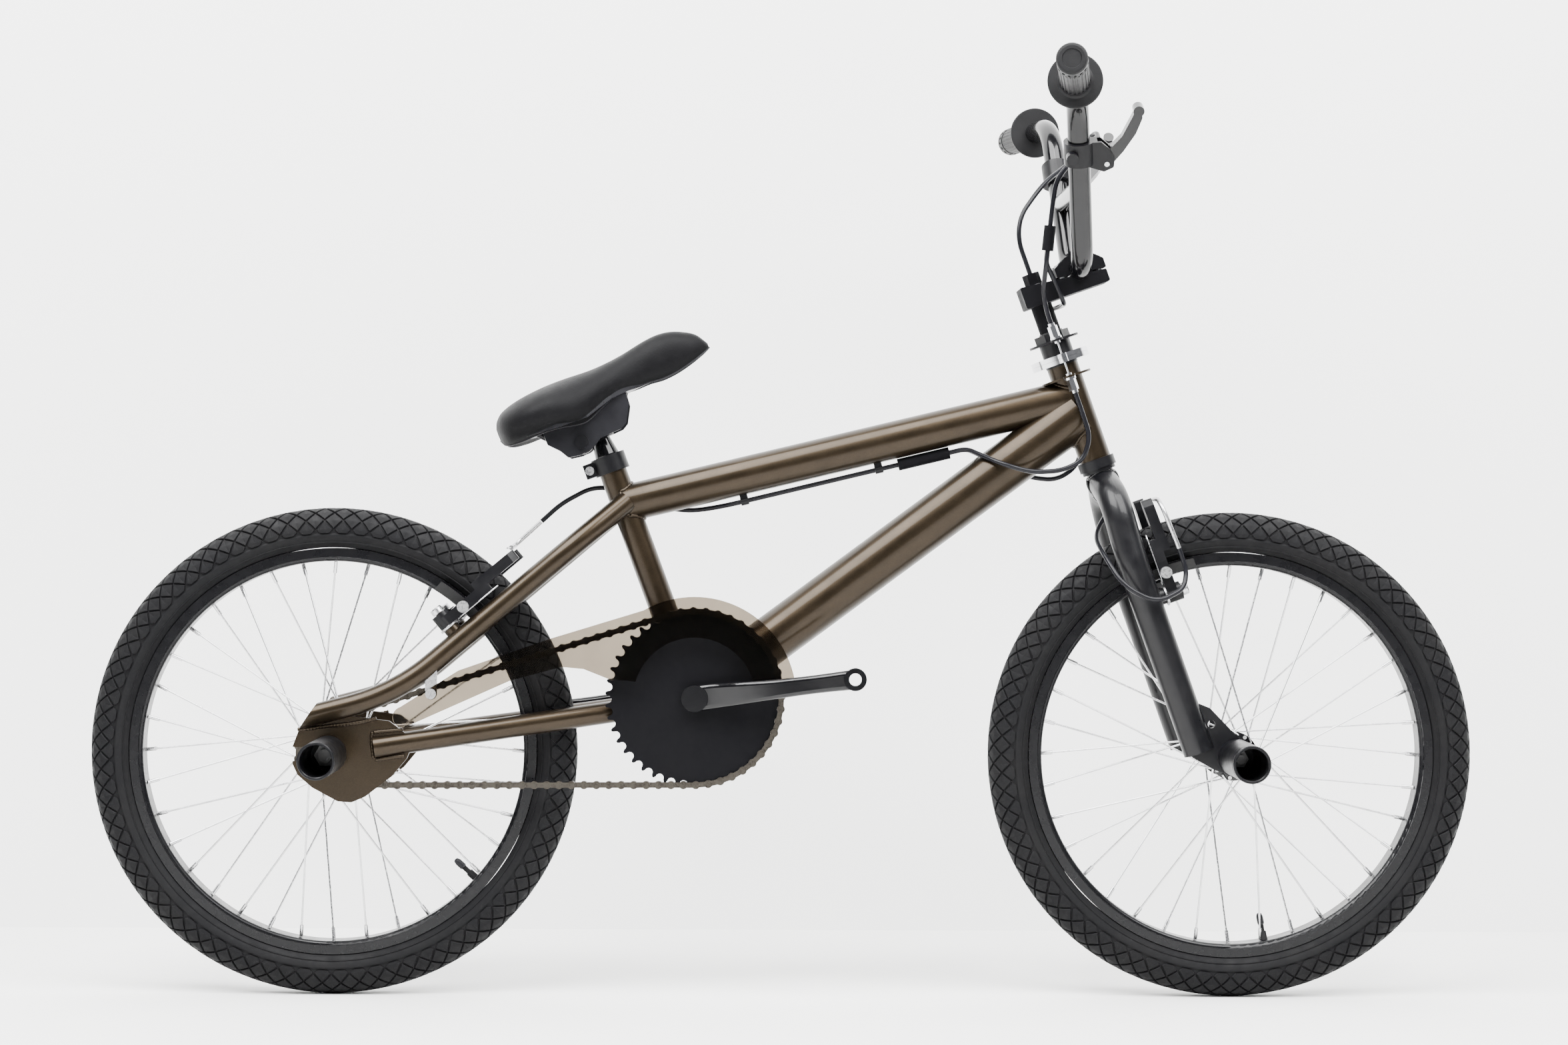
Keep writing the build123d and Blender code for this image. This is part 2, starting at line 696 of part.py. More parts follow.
def chain_guard():
    """A flat guard, concentric with the chainring, with a tail along the upper chain run."""
    tail = (-296.0, -20.0)
    tip = 10.5
    outline = [
        ThreePointArc(ring_point(guard_outer, 12), ring_point(guard_outer, 65),
                      ring_point(guard_outer, 120)),
        Polyline(ring_point(guard_outer, 120), (-146, 61), (-240, 28),
                 (tail[0] - 3, tail[1] + tip)),
        ThreePointArc((tail[0] - 3, tail[1] + tip), (tail[0] - tip, tail[1] - 1),
                      (tail[0] + 1, tail[1] - tip)),
        Polyline((tail[0] + 1, tail[1] - tip), (-187, 18), (-136, 32), (-113, 30), (-85, 19),
                 (-70, 18.5), ring_point(guard_inner, 164)),
        ThreePointArc(ring_point(guard_inner, 164), ring_point(guard_inner, 88),
                      ring_point(guard_inner, 12)),
        Line(ring_point(guard_inner, 12), ring_point(guard_outer, 12))]
    face = make_face(Curve() + outline)
    hole = Pos(guard_screw.X - bracket_x, guard_screw.Z - bottom_bracket_height) * Circle(2.6)
    place = Plane(origin=(bracket_x, -guard_offset, bottom_bracket_height), x_dir=(1, 0, 0),
                  z_dir=(0, -1, 0))
    return extrude(place * (face - hole), guard_thickness)


def guard_screws():
    """The strap on the seat stay that carries the guard's tail, and its screw."""
    outer = guard_offset + guard_thickness
    head = cross_rod(guard_screw, -outer - 2.6, -outer, 5.4)
    head += cross_rod(guard_screw, -outer, -guard_offset + 3.0, 2.5)
    strap_face = guard_offset - 0.1
    strap = Plane(origin=(guard_screw.X, -strap_face, guard_screw.Z), x_dir=(1, 0, 0),
                  z_dir=(0, 1, 0))
    outline = Circle(6.0) - Circle(2.6)
    outline += Pos(0, -14) * (Rectangle(12, 28) - Pos(0, 14) * Circle(6.0))
    return head, extrude(strap * outline, 2.0)


# ---------------------------------------------------------------- fork
def fork_steerer():
    """The steerer tube and the thicker stub that the legs are welded to."""
    tube = steer_disc(steerer_diameter / 2, head_tube_bottom - 35, head_top + 37,
                      steerer_bore / 2)
    stub = steer_disc(crown_diameter / 2, head_tube_bottom - 35, head_tube_bottom - 10.2,
                      steerer_bore / 2)
    return tube + stub


def fork_plate():
    """The left-hand dropout plate: it runs forward from the leg to the axle."""
    outline = make_face(Polyline((-19, 66), (-9, 57), (11, 13), (12, -12), (-13, -14),
                                 (-26, -4), (-44, 17), (-44, 52), (-34, 66), close=True))
    outline = fillet(outline.vertices(), 4.5)
    outline -= Circle(front_axle_diameter / 2 + 0.2)
    outline -= Pos(0, -15) * Rectangle(front_axle_diameter + 0.4, 30)
    outline -= Pos(-13, 41) * Circle(4.0)
    place = Plane(origin=front_hub + Vector(0, fork_plate_outer, 0), x_dir=steer_forward,
                  z_dir=(0, -1, 0))
    return extrude(place * outline, fork_plate_thickness)


def fork_legs():
    v = fork_leg_spread
    u = -fork_leg_setback
    crown = steer_disc(crown_diameter / 2, head_tube_bottom - 60, head_tube_bottom)
    points = [steer(0, 6, head_tube_bottom - 27), steer(0, v - 7, head_tube_bottom - 45),
              steer(u, v, head_tube_bottom - 110), steer(u, v, fork_leg_end)]
    radii = [38, 120]
    leg = bent_rod(points, fork_leg_diameter / 2, fork_leg_diameter / 2 - 2.0, radii)
    leg -= crown
    leg -= steer_disc(2 * crown_diameter, head_tube_bottom - 14, head_tube_bottom + 60)
    leg = leg.solids().sort_by(SortBy.VOLUME)[-1]
    leg += fork_plate()
    leg += brake_post(FRONT_BRAKE).mirror(Plane.XZ)
    return both_sides(leg)


def headset_races():
    """Crown race, the long upper race, the spacer sleeve and the locknut."""
    crown_race = steer_disc(17.5, head_tube_bottom - 13.5, head_tube_bottom - 10.1,
                            crown_diameter / 2 + 0.02)
    sleeve = steer_disc(headset_sleeve_diameter / 2, head_top + 7.8, upper_plate_seat - 0.1,
                        steerer_diameter / 2 + 0.02)
    top = upper_plate_seat + gyro_plate_thickness + 0.1
    place = Plane(origin=steer(0, 0, top), x_dir=steer_forward, z_dir=steer_up)
    locknut = extrude(place * (RegularPolygon(18.4, 6) - Circle(steerer_diameter / 2 + 0.02)), 8.0)
    return crown_race, sleeve, locknut


# ---------------------------------------------------------------- stem
def stem_top(u):
    """Height of the stem body's sloping top at a place along it."""
    slope = (stem_rear_height - stem_front_height) / (stem_tail + stem_nose)
    return stem_underside + stem_rear_height - slope * (u + stem_tail)


def stem_profile(points, width):
    """A side outline given as (forward, along the axis), as a block across the bike."""
    place = Plane(origin=STEER.origin + Vector(0, width / 2, 0), x_dir=steer_forward,
                  z_dir=(0, -1, 0))
    return extrude(place * make_face(Polyline(*points, close=True)), width)


bolt_places = [(29.0, 17.0), (29.0, -17.0), (67.5, 17.0), (67.5, -17.0)]
cap_gap = 1.5
bar_hole = bar_diameter / 2 + 0.02


def bar_clamp_cylinder(radius):
    centre = steer(bar_ahead, 0, bar_above)
    return cross_rod(centre, -60, 60, radius)


def stem():
    """Body and quill in one, bored for the hollow bolt."""
    body = stem_profile([(-stem_tail, stem_underside), (stem_nose, stem_underside),
                         (stem_nose, stem_top(stem_nose)), (-stem_tail, stem_top(-stem_tail))],
                        stem_width)
    body = fillet(body.edges().filter_by(Axis.Y), 1.6)
    body += steer_disc(bar_diameter / 2, stem_underside - 100, stem_underside + 2)
    body -= bar_clamp_cylinder(bar_hole)
    body -= steer_disc(10.8, stem_top(0) - 0.6, stem_top(0) + 30)
    body -= steer_disc(5.0, stem_underside - 110, stem_top(0) + 5)
    for u, v in bolt_places:
        body -= rod(steer(u, v, stem_underside + 1.5), steer(u, v, stem_top(u) + 5), 3.05)
    return body


def stem_cap():
    """The plate that clamps the handlebar down on the stem."""
    rear = bar_ahead - stem_cap_length / 2 + 1.3
    front = bar_ahead + stem_cap_length / 2 + 1.3
    cap = stem_profile([(rear, stem_top(rear) + cap_gap), (front, stem_top(front) + cap_gap),
                        (front, stem_top(front) + 11.5), (front - 13, bar_above + 15.5),
                        (bar_ahead, bar_above + 17.6), (rear + 14, bar_above + 16.4),
                        (rear, stem_top(rear) + 11.0)], stem_width - 2)
    cap = fillet(cap.edges().filter_by(Axis.Y), 1.2)
    cap -= bar_clamp_cylinder(bar_hole)
    for u, v in bolt_places:
        cap -= rod(steer(u, v, stem_top(u)), steer(u, v, bar_above + 30), 3.05)
        cap -= rod(steer(u, v, stem_top(u) + 9.0), steer(u, v, bar_above + 30), 5.4)
    return cap


def stem_bolts():
    """Four socket-head bolts and the hollow hexagon bolt of the quill."""
    solids = []
    for u, v in bolt_places:
        seat = stem_top(u) + 9.1
        bolt = rod(steer(u, v, stem_underside + 2.5), steer(u, v, seat), 3.0)
        bolt += rod(steer(u, v, seat), steer(u, v, seat + 6.0), 5.0)
        bolt -= rod(steer(u, v, seat + 3.0), steer(u, v, seat + 7.0), 2.4)
        solids.append(bolt)
    low = stem_top(0) - 0.5
    washer = steer_disc(9.6, low, low + 1.4, 5.05)
    place = Plane(origin=steer(0, 0, low + 1.5), x_dir=steer_forward, z_dir=steer_up)
    hexagon = extrude(place * RegularPolygon(9.1, 6), 12.0)
    hexagon += steer_disc(4.95, stem_underside - 95, low + 3)
    hexagon -= steer_disc(housing_diameter / 2 + 0.6, stem_underside - 100, low + 20)
    return solids + [washer, hexagon]


# ---------------------------------------------------------------- handlebar, grips, levers
bar_centre = steer(bar_ahead, 0, bar_above)
bar_low_corner = bar_centre + Vector(0, 55, 0)
bar_high_corner = bar_centre + Vector(-15.5, 143, bar_rise)
bar_sweep = Vector(-25.7, 202, 7.0)
grip_along = bar_sweep.normalized()
grip_end = bar_high_corner + bar_sweep
upright = (bar_high_corner - bar_low_corner).normalized()
lever_up = Vector(upright)
lever_place_share = 0.669
lever_seat = bar_low_corner + (bar_high_corner - bar_low_corner) * lever_place_share
lever_forward = (Vector(1, 0, 0) - lever_up * lever_up.X).normalized()
lever_side = lever_forward.cross(lever_up)


def flipped(point):
    return Vector(point.X, -point.Y, point.Z)


def handlebar():
    end = grip_end - grip_along * (grip_cap + 0.2)
    points = [end, bar_high_corner, bar_low_corner,
              flipped(bar_low_corner), flipped(bar_high_corner), flipped(end)]
    bar = bent_rod(points, bar_diameter / 2, bar_diameter / 2 - bar_wall, [62, 42, 42, 62])
    share = 0.47
    left = bar_low_corner + (bar_high_corner - bar_low_corner) * share
    cross = rod(left, flipped(left), bar_diameter / 2 - 1.6, bar_diameter / 2 - 3.2)
    solid = rod(bar_low_corner, bar_high_corner, bar_diameter / 2 - 0.2)
    cross -= solid
    cross -= mirrored(solid)
    cross = cross.solids().sort_by(SortBy.VOLUME)[-1]
    return bar + cross


def grip():
    """A mushroom grip: sleeve, closed outer end and a broad inner flange."""
    start = grip_end - grip_along * grip_length
    body = rod(start, grip_end, grip_diameter / 2)
    body += rod(start, start + grip_along * grip_flange_thickness, grip_flange_diameter / 2)
    body -= rod(start - grip_along, grip_end - grip_along * grip_cap, bar_diameter / 2 + 0.03)
    return body


def lever_point(forward, up, side=0.0):
    return lever_seat + lever_forward * forward + lever_up * up + lever_side * side


lever_pivot_forward = 27.0
lever_pivot_up = -12.0
barrel_place = (22.0, 2.0)      # of the cable's adjusting barrel, ahead of and above the seat


def lever_plane(side):
    return Plane(origin=lever_seat + lever_side * side, x_dir=lever_forward, z_dir=lever_side)


def lever_bracket():
    """Hinged clamp on the bar's upright, with two ears for the lever and a cable stop."""
    clamp = rod(lever_point(0, -12), lever_point(0, 12), 15.4)
    outline = make_face(Polyline((4, -12), (24, -20), (34, -16), (35, -6), (30, 4), (22, 12),
                                 (4, 12), close=True))
    outline = fillet(outline.vertices().sort_by(Axis.X)[-4:], 3)
    body = clamp + extrude(lever_plane(-8) * outline, 16)
    slot = make_face(Polyline((18.5, -30), (50, -30), (50, 14), (18.5, 14), close=True))
    body -= extrude(lever_plane(-5.3) * slot, 10.6)
    body += rod(lever_point(-8, 0, -11), lever_point(-8, 0, -20), 6.0)
    body -= rod(lever_point(0, -25), lever_point(0, 25), bar_diameter / 2 + 0.02)
    pin = rod(lever_point(lever_pivot_forward, lever_pivot_up, -8.9),
              lever_point(lever_pivot_forward, lever_pivot_up, 8.9), 2.5)
    body -= rod(lever_point(lever_pivot_forward, lever_pivot_up, -9),
                lever_point(lever_pivot_forward, lever_pivot_up, 9), 2.5)
    barrel = rod(lever_point(*barrel_place, 8.1), lever_point(*barrel_place, 13), 4.6)
    barrel += rod(lever_point(*barrel_place, 13), lever_point(*barrel_place, 20), 3.9)
    return body, pin, barrel


def lever_blade():
    """The lever: an eye on the pin and a blade that stands up and forward of the upright."""
    outline = make_face(Polyline((21, -12), (27, -18), (33, -13), (44, -1), (57, 17), (64, 33),
                                 (64, 43), (58, 44), (54, 35), (43, 15), (32, 4), (22, -4),
                                 close=True))
    outline = fillet(outline.vertices().sort_by(Axis.Y)[-2:], 2.6)
    blade = extrude(lever_plane(-5.0) * outline, 10.0)
    tip = rod(lever_point(60.5, 41, -6.5), lever_point(60.5, 41, 6.5), 5.6)
    blade += tip
    eye = rod(lever_point(lever_pivot_forward, lever_pivot_up, -6),
              lever_point(lever_pivot_forward, lever_pivot_up, 6), 2.5 + running_clearance)
    return blade - eye


# ---------------------------------------------------------------- detangler
def gyro_plate(low, bore):
    """A round plate with a cable lug at each side."""
    plate = Circle(gyro_plate_radius)
    for side in (1, -1):
        plate += Pos(0, side * gyro_lug_offset) * Circle(6.5)
        plate += Pos(0, side * (gyro_lug_offset - 5)) * Rectangle(13, 10)
    plate -= Circle(bore)
    for side in (1, -1):
        plate -= Pos(0, side * gyro_lug_offset) * Circle(3.05)
    place = Plane(origin=steer(0, 0, low), x_dir=steer_forward, z_dir=steer_up)
    return extrude(place * plate, gyro_plate_thickness)


def adjuster(low, high, side):
    """A hexagon barrel with a threaded neck, bored for the inner wire."""
    v = side * gyro_lug_offset
    upward = 1 if high > low else -1
    plate_side = low
    body_start = plate_side + upward * 4.4
    end = high
    neck = rod(steer(0, v, plate_side), steer(0, v, body_start), 3.0)
    start = min(body_start, end)
    place = Plane(origin=steer(0, v, start), x_dir=steer_forward, z_dir=steer_up)
    barrel = extrude(place * RegularPolygon(5.2, 6), abs(end - body_start))
    flange_low = min(body_start, body_start + upward * 2.2)
    flange = rod(steer(0, v, flange_low), steer(0, v, flange_low + 2.2), 6.0)
    tip = rod(steer(0, v, end), steer(0, v, end + upward * 3.0), 3.4)
    body = neck + barrel + flange + tip
    return body - rod(steer(0, v, min(low, end) - 5), steer(0, v, max(low, end) + 5),
                      wire_diameter / 2 + 0.15)


upper_adjuster_low = upper_plate_seat - 2.1
upper_adjuster_high = upper_plate_seat + 16.0
lower_adjuster_high = lower_plate_seat + gyro_plate_thickness + 2.1
lower_adjuster_low = lower_plate_seat - 14.0


def rotor_half_ring(low, high):
    """One half of the floating rotor, with a cable lug at each side."""
    ring = steer_disc(rotor_diameter / 2, low, high, rotor_bore / 2)
    for side in (1, -1):
        lug = rod(steer(0, side * gyro_lug_offset, low), steer(0, side * gyro_lug_offset, high), 5.0)
        ring += lug
    return ring


def rotor_upper():
    low = rotor_seat + 0.1
    ring = rotor_half_ring(low, rotor_seat + rotor_half)
    solids = [ring]
    for side in (1, -1):
        v = side * gyro_lug_offset
        solids.append(rod(steer(0, v, rotor_seat + rotor_half), steer(0, v, upper_plate_seat + 12.5),
                          wire_diameter / 2))
    return solids


def rotor_lower():
    high = rotor_seat - 0.1
    ring = rotor_half_ring(rotor_seat - rotor_half, high)
    solids = [ring]
    for side in (1, -1):
        v = side * gyro_lug_offset
        solids.append(rod(steer(0, v, rotor_seat - rotor_half), steer(0, v, lower_plate_seat - 15),
                          wire_diameter / 2))
    return solids


# ---------------------------------------------------------------- cables
top_tube_run = (head_joint_high - stay_joint).normalized()
top_tube_down = Vector(top_tube_run.Z, 0, -top_tube_run.X)


def under_top_tube(x, drop, y=0.0):
    """A point below the top tube's axis, at a place given by its X."""
    share = (x - stay_joint.X) / (head_joint_high.X - stay_joint.X)
    axis = stay_joint + (head_joint_high - stay_joint) * share
    return axis + top_tube_down * drop + Vector(0, y, 0)


cable_drop = top_tube_diameter / 2 + 6.5    # cable centre, below the top tube's axis
splitter_front = under_top_tube(165.0, cable_drop)
splitter_rear = under_top_tube(112.0, cable_drop)
housing_radius = housing_diameter / 2


def lower_gyro_cables():
    """Two housings from the lower plate, round the head tube, to the splitter."""
    low = lower_adjuster_low - 3.1
    near = [steer(0, -gyro_lug_offset, low), steer(0, -gyro_lug_offset, low - 22),
            Vector(314, -34, 579), Vector(307, -35, 555), Vector(285, -34, 544),
            Vector(254, -35, 542), Vector(222, -35, 551),
            splitter_front + top_tube_run * 18 + Vector(0, -2.7, 0),
            splitter_front + top_tube_run * 0.2 + Vector(0, -2.7, 0)]
    far = [steer(0, gyro_lug_offset, low), steer(0, gyro_lug_offset, low - 22),
           Vector(314, 34, 577), Vector(308, 35, 550), Vector(286, 34, 535),
           Vector(256, 36, 538), Vector(224, 36, 553),
           splitter_front + top_tube_run * 18 + Vector(0, 2.7, 0),
           splitter_front + top_tube_run * 0.2 + Vector(0, 2.7, 0)]
    return bent_rod(near, housing_radius), bent_rod(far, housing_radius)


def cable_splitter():
    return rod(splitter_rear, splitter_front, 6.2)


clip_places = [92.0, -47.0]


def cable_clips():
    """Clips on the underside of the top tube, closed round the housing."""
    solids = []
    hollow = rod(stay_joint, head_joint_high, top_tube_diameter / 2 + 0.02)
    stand = cable_drop - top_tube_diameter / 2
    for x in clip_places:
        clip = rod(under_top_tube(x - 4, cable_drop), under_top_tube(x + 4, cable_drop),
                   housing_radius + 1.6)
        foot = under_top_tube(x, cable_drop - stand / 2)
        place = Plane(origin=foot, x_dir=top_tube_run, z_dir=top_tube_down)
        clip += place * Box(8, 6, stand + 1)
        clip -= hollow
        clip -= rod(under_top_tube(x - 9, cable_drop), under_top_tube(x + 9, cable_drop),
                    housing_radius + 0.05)
        solids.append(clip)
    return solids


def rear_brake_cable():
    """One housing from the splitter, under the top tube and past the seat tube."""
    points = [splitter_rear - top_tube_run * 0.2, under_top_tube(-70, cable_drop),
              under_top_tube(-104, cable_drop - 3, 15), Vector(-134, 29, 506),
              Vector(-166, 30, 522), Vector(-199, 35, 526), REAR_BRAKE.from_local_coords(rear_mouth_run),
              REAR_BRAKE.from_local_coords(rear_mouth + Vector(0.8, 0, 0))]
    return bent_rod(points, housing_radius)


def barrel_mouth(reach):
    """A point on the line of the left-hand lever's barrel, beyond its end."""
    return lever_point(*barrel_place, 20 + reach)


def upper_gyro_cables():
    """From the right-hand lever over the crossbar to a joiner, then one housing per lug."""
    low = upper_adjuster_high + 3.1
    joiner_top = steer(31, -46, 577)
    joiner_low = steer(20, -45, 554)
    joiner_run = (joiner_low - joiner_top).normalized()
    single = bent_rod([flipped(barrel_mouth(0.2)), flipped(barrel_mouth(32)), Vector(298, -54, 868),
                       Vector(276, -50, 842), joiner_top - joiner_run * 20,
                       joiner_top - joiner_run * 0.2], housing_radius)
    joiner = rod(joiner_top, joiner_low, 6.0)
    start = joiner_low + joiner_run * 0.2
    near_shift = Vector(0, -2.7, 0)
    far_shift = Vector(0, 2.7, 0)
    near = bent_rod([start + near_shift, start + joiner_run * 14 + near_shift,
                     steer(2, -34.5, 514), steer(0, -gyro_lug_offset, low + 10),
                     steer(0, -gyro_lug_offset, low)], housing_radius)
    far = bent_rod([start + far_shift, start + joiner_run * 12 + far_shift, steer(18, -33, 520),
                    steer(20, -31, 498), steer(22, 0, 497), steer(13, 24, 497.5),
                    steer(0, gyro_lug_offset, low + 15), steer(0, gyro_lug_offset, low)],
                   housing_radius)
    return single, joiner, near, far


def front_brake_cable():
    """From the left-hand lever down the hollow bolt and steerer, round the leg to the noodle."""
    mouth = FRONT_BRAKE.from_local_coords(front_mouth)
    below = FRONT_BRAKE.from_local_coords(front_mouth - Vector(24, 0, 0))
    points = [barrel_mouth(0.2), barrel_mouth(32), Vector(298, 52, 868), Vector(270, 22, 846),
              steer(0, 0, 592), steer(0, 0, 284), steer(-30, -24, 262), steer(-30, -58, 240),
              steer(-24, -80, 205), steer(2, -80, 178), steer(34, -70, 182), below, mouth]
    return bent_rod(points, housing_radius)


# ---------------------------------------------------------------- brakes
front_mouth = Vector(41.7, 62, 33)      # where each cable meets its noodle, in its brake's frame
rear_mouth = Vector(136.3, 48, 32)
rear_mouth_run = Vector(165, 46, 33)
noodle_radius = 2.4
noodle_height = 96.0            # of the noodle's crossing run, up the arm
noodle_ahead = 30.5
noodle_end = 22.0


def noodle(start):
    """The bent tube that leads the wire across, and the wire's bare run to the other arm."""
    gap = math.copysign(0.2, noodle_height - start.X)
    tube = bent_rod([start + Vector(gap, 0, 0), (noodle_height, start.Y + 2, noodle_ahead),
                     (noodle_height, noodle_end, noodle_ahead)], noodle_radius)
    wire = rod((noodle_height, noodle_end - 0.1, noodle_ahead),
               (noodle_height, -brake_spread + 6, noodle_ahead), wire_diameter / 2)
    return [tube, wire]


def pad_centre(place, hub):
    """Where a pad sits beside the rim, in the brake's own frame."""
    z = 13.0
    start = place.from_local_coords(Vector(0, 0, z))
    along = place.from_local_coords(Vector(1, 0, z)) - start
    offset = start - hub
    half_b = offset.dot(along)
    c = offset.dot(offset) - brake_pad_radius**2
    return Vector(-half_b + math.sqrt(half_b**2 - c), 0, z)


def brake_pad(place, hub):
    """A curved block beside the rim on the +y side of the brake's place."""
    inner = rim_width / 2 + pad_gap
    centre = place.from_local_coords(pad_centre(place, hub))
    side = 1 if place.y_dir.Y > 0 else -1
    ring = cross_rod(hub, side * inner, side * (inner + 10), brake_pad_radius + 4.6,
                     brake_pad_radius - 4.6)
    radial = (centre - hub).normalized()
    block = Plane(origin=centre, x_dir=radial, z_dir=(0, 1, 0)) * Box(30, pad_length, 90)
    pad = (ring & block).solids()[0]
    rise = pad_centre(place, hub)
    bolt = place * (Pos(rise.X, inner + 10, rise.Z) * Rot(-90, 0, 0) * Cylinder(3.0, 34, align=BASE))
    return pad, bolt


def brake_arm(place, hub):
    """One arm on its post, on the +y side of the brake's place, with its pad and bolt."""
    rise = pad_centre(place, hub)
    outline = make_face(Polyline((-9, 38), (-9, 48), (2, 54), (34, 53), (62, 48),
                                 (brake_arm_length, 43), (brake_arm_length + 7, 38),
                                 (brake_arm_length + 7, 30), (brake_arm_length - 4, 29),
                                 (62, 36), (34, 39), (10, 33), close=True))
    outline = fillet(outline.vertices(), 3.0)
    lower = outline & (Pos(-20, 0) * Rectangle(78, 200, align=(Align.MIN, Align.CENTER)))
    upper = outline & (Pos(44, 0) * Rectangle(78, 200, align=(Align.MIN, Align.CENTER)))
    arm = extrude(Plane.XY.offset(7.5) * lower, 11.0)
    arm += extrude(Plane.XY.offset(15.0) * upper, 11.0)
    arm += Pos(0, brake_spread, 5.3) * Cylinder(9.5, 18.0, align=BASE)
    arm -= Pos(0, brake_spread, 0) * Cylinder(post_diameter / 2 + running_clearance, 40, align=BASE)
    arm = place * arm
    arm -= place * (Pos(rise.X, 20, rise.Z) * Rot(-90, 0, 0) * Cylinder(3.05, 50, align=BASE))
    pad, bolt = brake_pad(place, hub)
    nut = place * (Pos(rise.X, 53.4, rise.Z) * Rot(-90, 0, 0)
                   * (Cylinder(6.0, 7, align=BASE) - Cylinder(3.02, 7, align=BASE)))
    cap = place * (Pos(0, brake_spread, 24.2) * Cylinder(6.5, 5, align=BASE))
    return [arm, pad, bolt, nut, cap]


# ---------------------------------------------------------------- saddle
SADDLE = Plane(origin=(-298.7, 0, 583.7),
               x_dir=(math.cos(math.radians(saddle_tilt)), 0, math.sin(math.radians(saddle_tilt))),
               z_dir=(-math.sin(math.radians(saddle_tilt)), 0, math.cos(math.radians(saddle_tilt))))


def saddle_station(x):
    """The plane square to the saddle's length at a distance from its tail."""
    return Plane(origin=SADDLE.from_local_coords(Vector(x, 0, 0)), x_dir=(0, 1, 0),
                 z_dir=SADDLE.x_dir)


def saddle_section(x, width, low, high):
    """One cross-section of the saddle, flat below and crowned above."""
    half = width / 2
    outline = make_face(Curve() + [
        Line((-half, low), (half, low)),
        Line((half, low), (half, low + (high - low) * 0.45)),
        ThreePointArc((half, low + (high - low) * 0.45), (0, high),
                      (-half, low + (high - low) * 0.45)),
        Line((-half, low + (high - low) * 0.45), (-half, low))])
    return saddle_station(x) * outline


pad_floor = -7.0
base_top = pad_floor - 0.4


def saddle_pad():
    """The cover: crowned above, its sides turned down round the base."""
    sections = [
        saddle_section(3, saddle_width * 0.60, -17, 8),
        saddle_section(24, saddle_width * 0.93, -24, 18.5),
        saddle_section(60, saddle_width, -26, 22.5),
        saddle_section(92, saddle_width * 0.86, -28, 22.5),
        saddle_section(122, saddle_width * 0.62, -17, 21.5),
        saddle_section(160, saddle_nose_width * 1.3, -15, 26),
        saddle_section(195, saddle_nose_width * 1.05, -15, 29.5),
        saddle_section(220, saddle_nose_width * 0.9, -9, 21),
        saddle_section(saddle_length - 2, saddle_nose_width * 0.55, -3, 7)]
    return loft(Sketch() + sections) - base_form(0.05, 12.0)


def base_form(clearance, depth):
    """The base's block, grown by a clearance and carried down by a depth."""
    sections = []
    for x, width, low in (
            (12, saddle_width * 0.50, -15), (30, saddle_width * 0.80, -21),
            (62, saddle_width * 0.88, -24), (94, saddle_width * 0.74, -25),
            (124, saddle_width * 0.50, -15.5), (160, saddle_nose_width * 1.0, -13.5),
            (196, saddle_nose_width * 0.7, -12.5)):
        half = width / 2 + clearance
        bottom = low - depth
        top = base_top + clearance
        outline = make_face(Polyline((-half, bottom), (half, bottom), (half, top), (-half, top), close=True))
        sections.append(saddle_station(x) * outline)
    return loft(Sketch() + sections, ruled=True)


wing_start = Vector(45, 34.5, 0)        # inner face of the left-hand wing, at its rear
wing_taper = 0.12                       # the wings close in toward the nose
wing_thickness = 3.0


def base_wing():
    """The left-hand side plate of the base, hanging beside the rails and the clamp."""
    origin = SADDLE.from_local_coords(wing_start)
    along = SADDLE.from_local_coords(wing_start + Vector(1, -wing_taper, 0)) - origin
    outward = along.cross(SADDLE.z_dir) * -1
    profile = make_face(Polyline((0, -9), (0, -36), (10, -47), (15, -56), (28, -58), (42, -56),
                                 (54, -49), (77, -48), (84, -44), (93, -28), (95, -9), close=True))
    profile = fillet(profile.vertices().sort_by(Axis.Y)[:6], 3)
    wing = extrude(Plane(origin=origin, x_dir=along, z_dir=outward * -1) * profile, -wing_thickness)
    return wing


def saddle_base():
    """The moulded base inside the cover, with a wing at each side of the clamp."""
    base = base_form(0.0, 0.0)
    wing = base_wing()
    base += wing
    base += mirrored(wing)
    for socket in saddle_rails(rail_radius + 0.05):
        base -= socket
    base -= clamp_bolt(0.1)
    return base


clamp_x = 79.0
rail_spread = 20.0
rail_radius = 3.5
rail_height = -36.0
clamp_centre = Vector(clamp_x, 0, rail_height - 9.5)


def clamp_bolt(clearance):
    """The bolt across the clamp and the wings, with a head and a nut outside them."""
    centre = SADDLE.from_local_coords(clamp_centre)
    bolt = cross_rod(centre, -36, 36, 4.0 + clearance)
    for side in (1, -1):
        bolt += cross_rod(centre, side * (34.0 - clearance), side * 38.0, 7.0 + clearance)
    return bolt


def saddle_rails(radius):
    """Two rails whose ends plug into the base from below."""
    points = [(140, 14, -10), (128, 18, -26), (116, rail_spread, rail_height),
              (54, rail_spread, rail_height), (41, rail_spread + 4, -23), (33, rail_spread + 7, -11)]
    rails = []
    for side in (1, -1):
        path = [SADDLE.from_local_coords(Vector(x, side * y, z)) for x, y, z in points]
        rails.append(bent_rod(path, radius))
    return rails


def seat_post():
    """The post with its narrower neck, up to the saddle's clamp."""
    top = bottom_bracket + seat_up * seat_tube_length
    neck = top + seat_up * 4
    end = top + seat_up * 36
    post = rod(top - seat_up * seat_post_insertion, neck, seat_post_diameter / 2)
    shoulder = top + seat_up * 20
    rise = (shoulder - neck).length
    post += Plane(origin=neck, z_dir=seat_up) * Cone(seat_post_diameter / 2, seat_post_neck / 2, rise,
                                                     align=BASE)
    post += rod(shoulder, end, seat_post_neck / 2)
    post -= rod(top - seat_up * (seat_post_insertion + 1), end - seat_up * 6,
                seat_post_neck / 2 - 2.0)
    return post


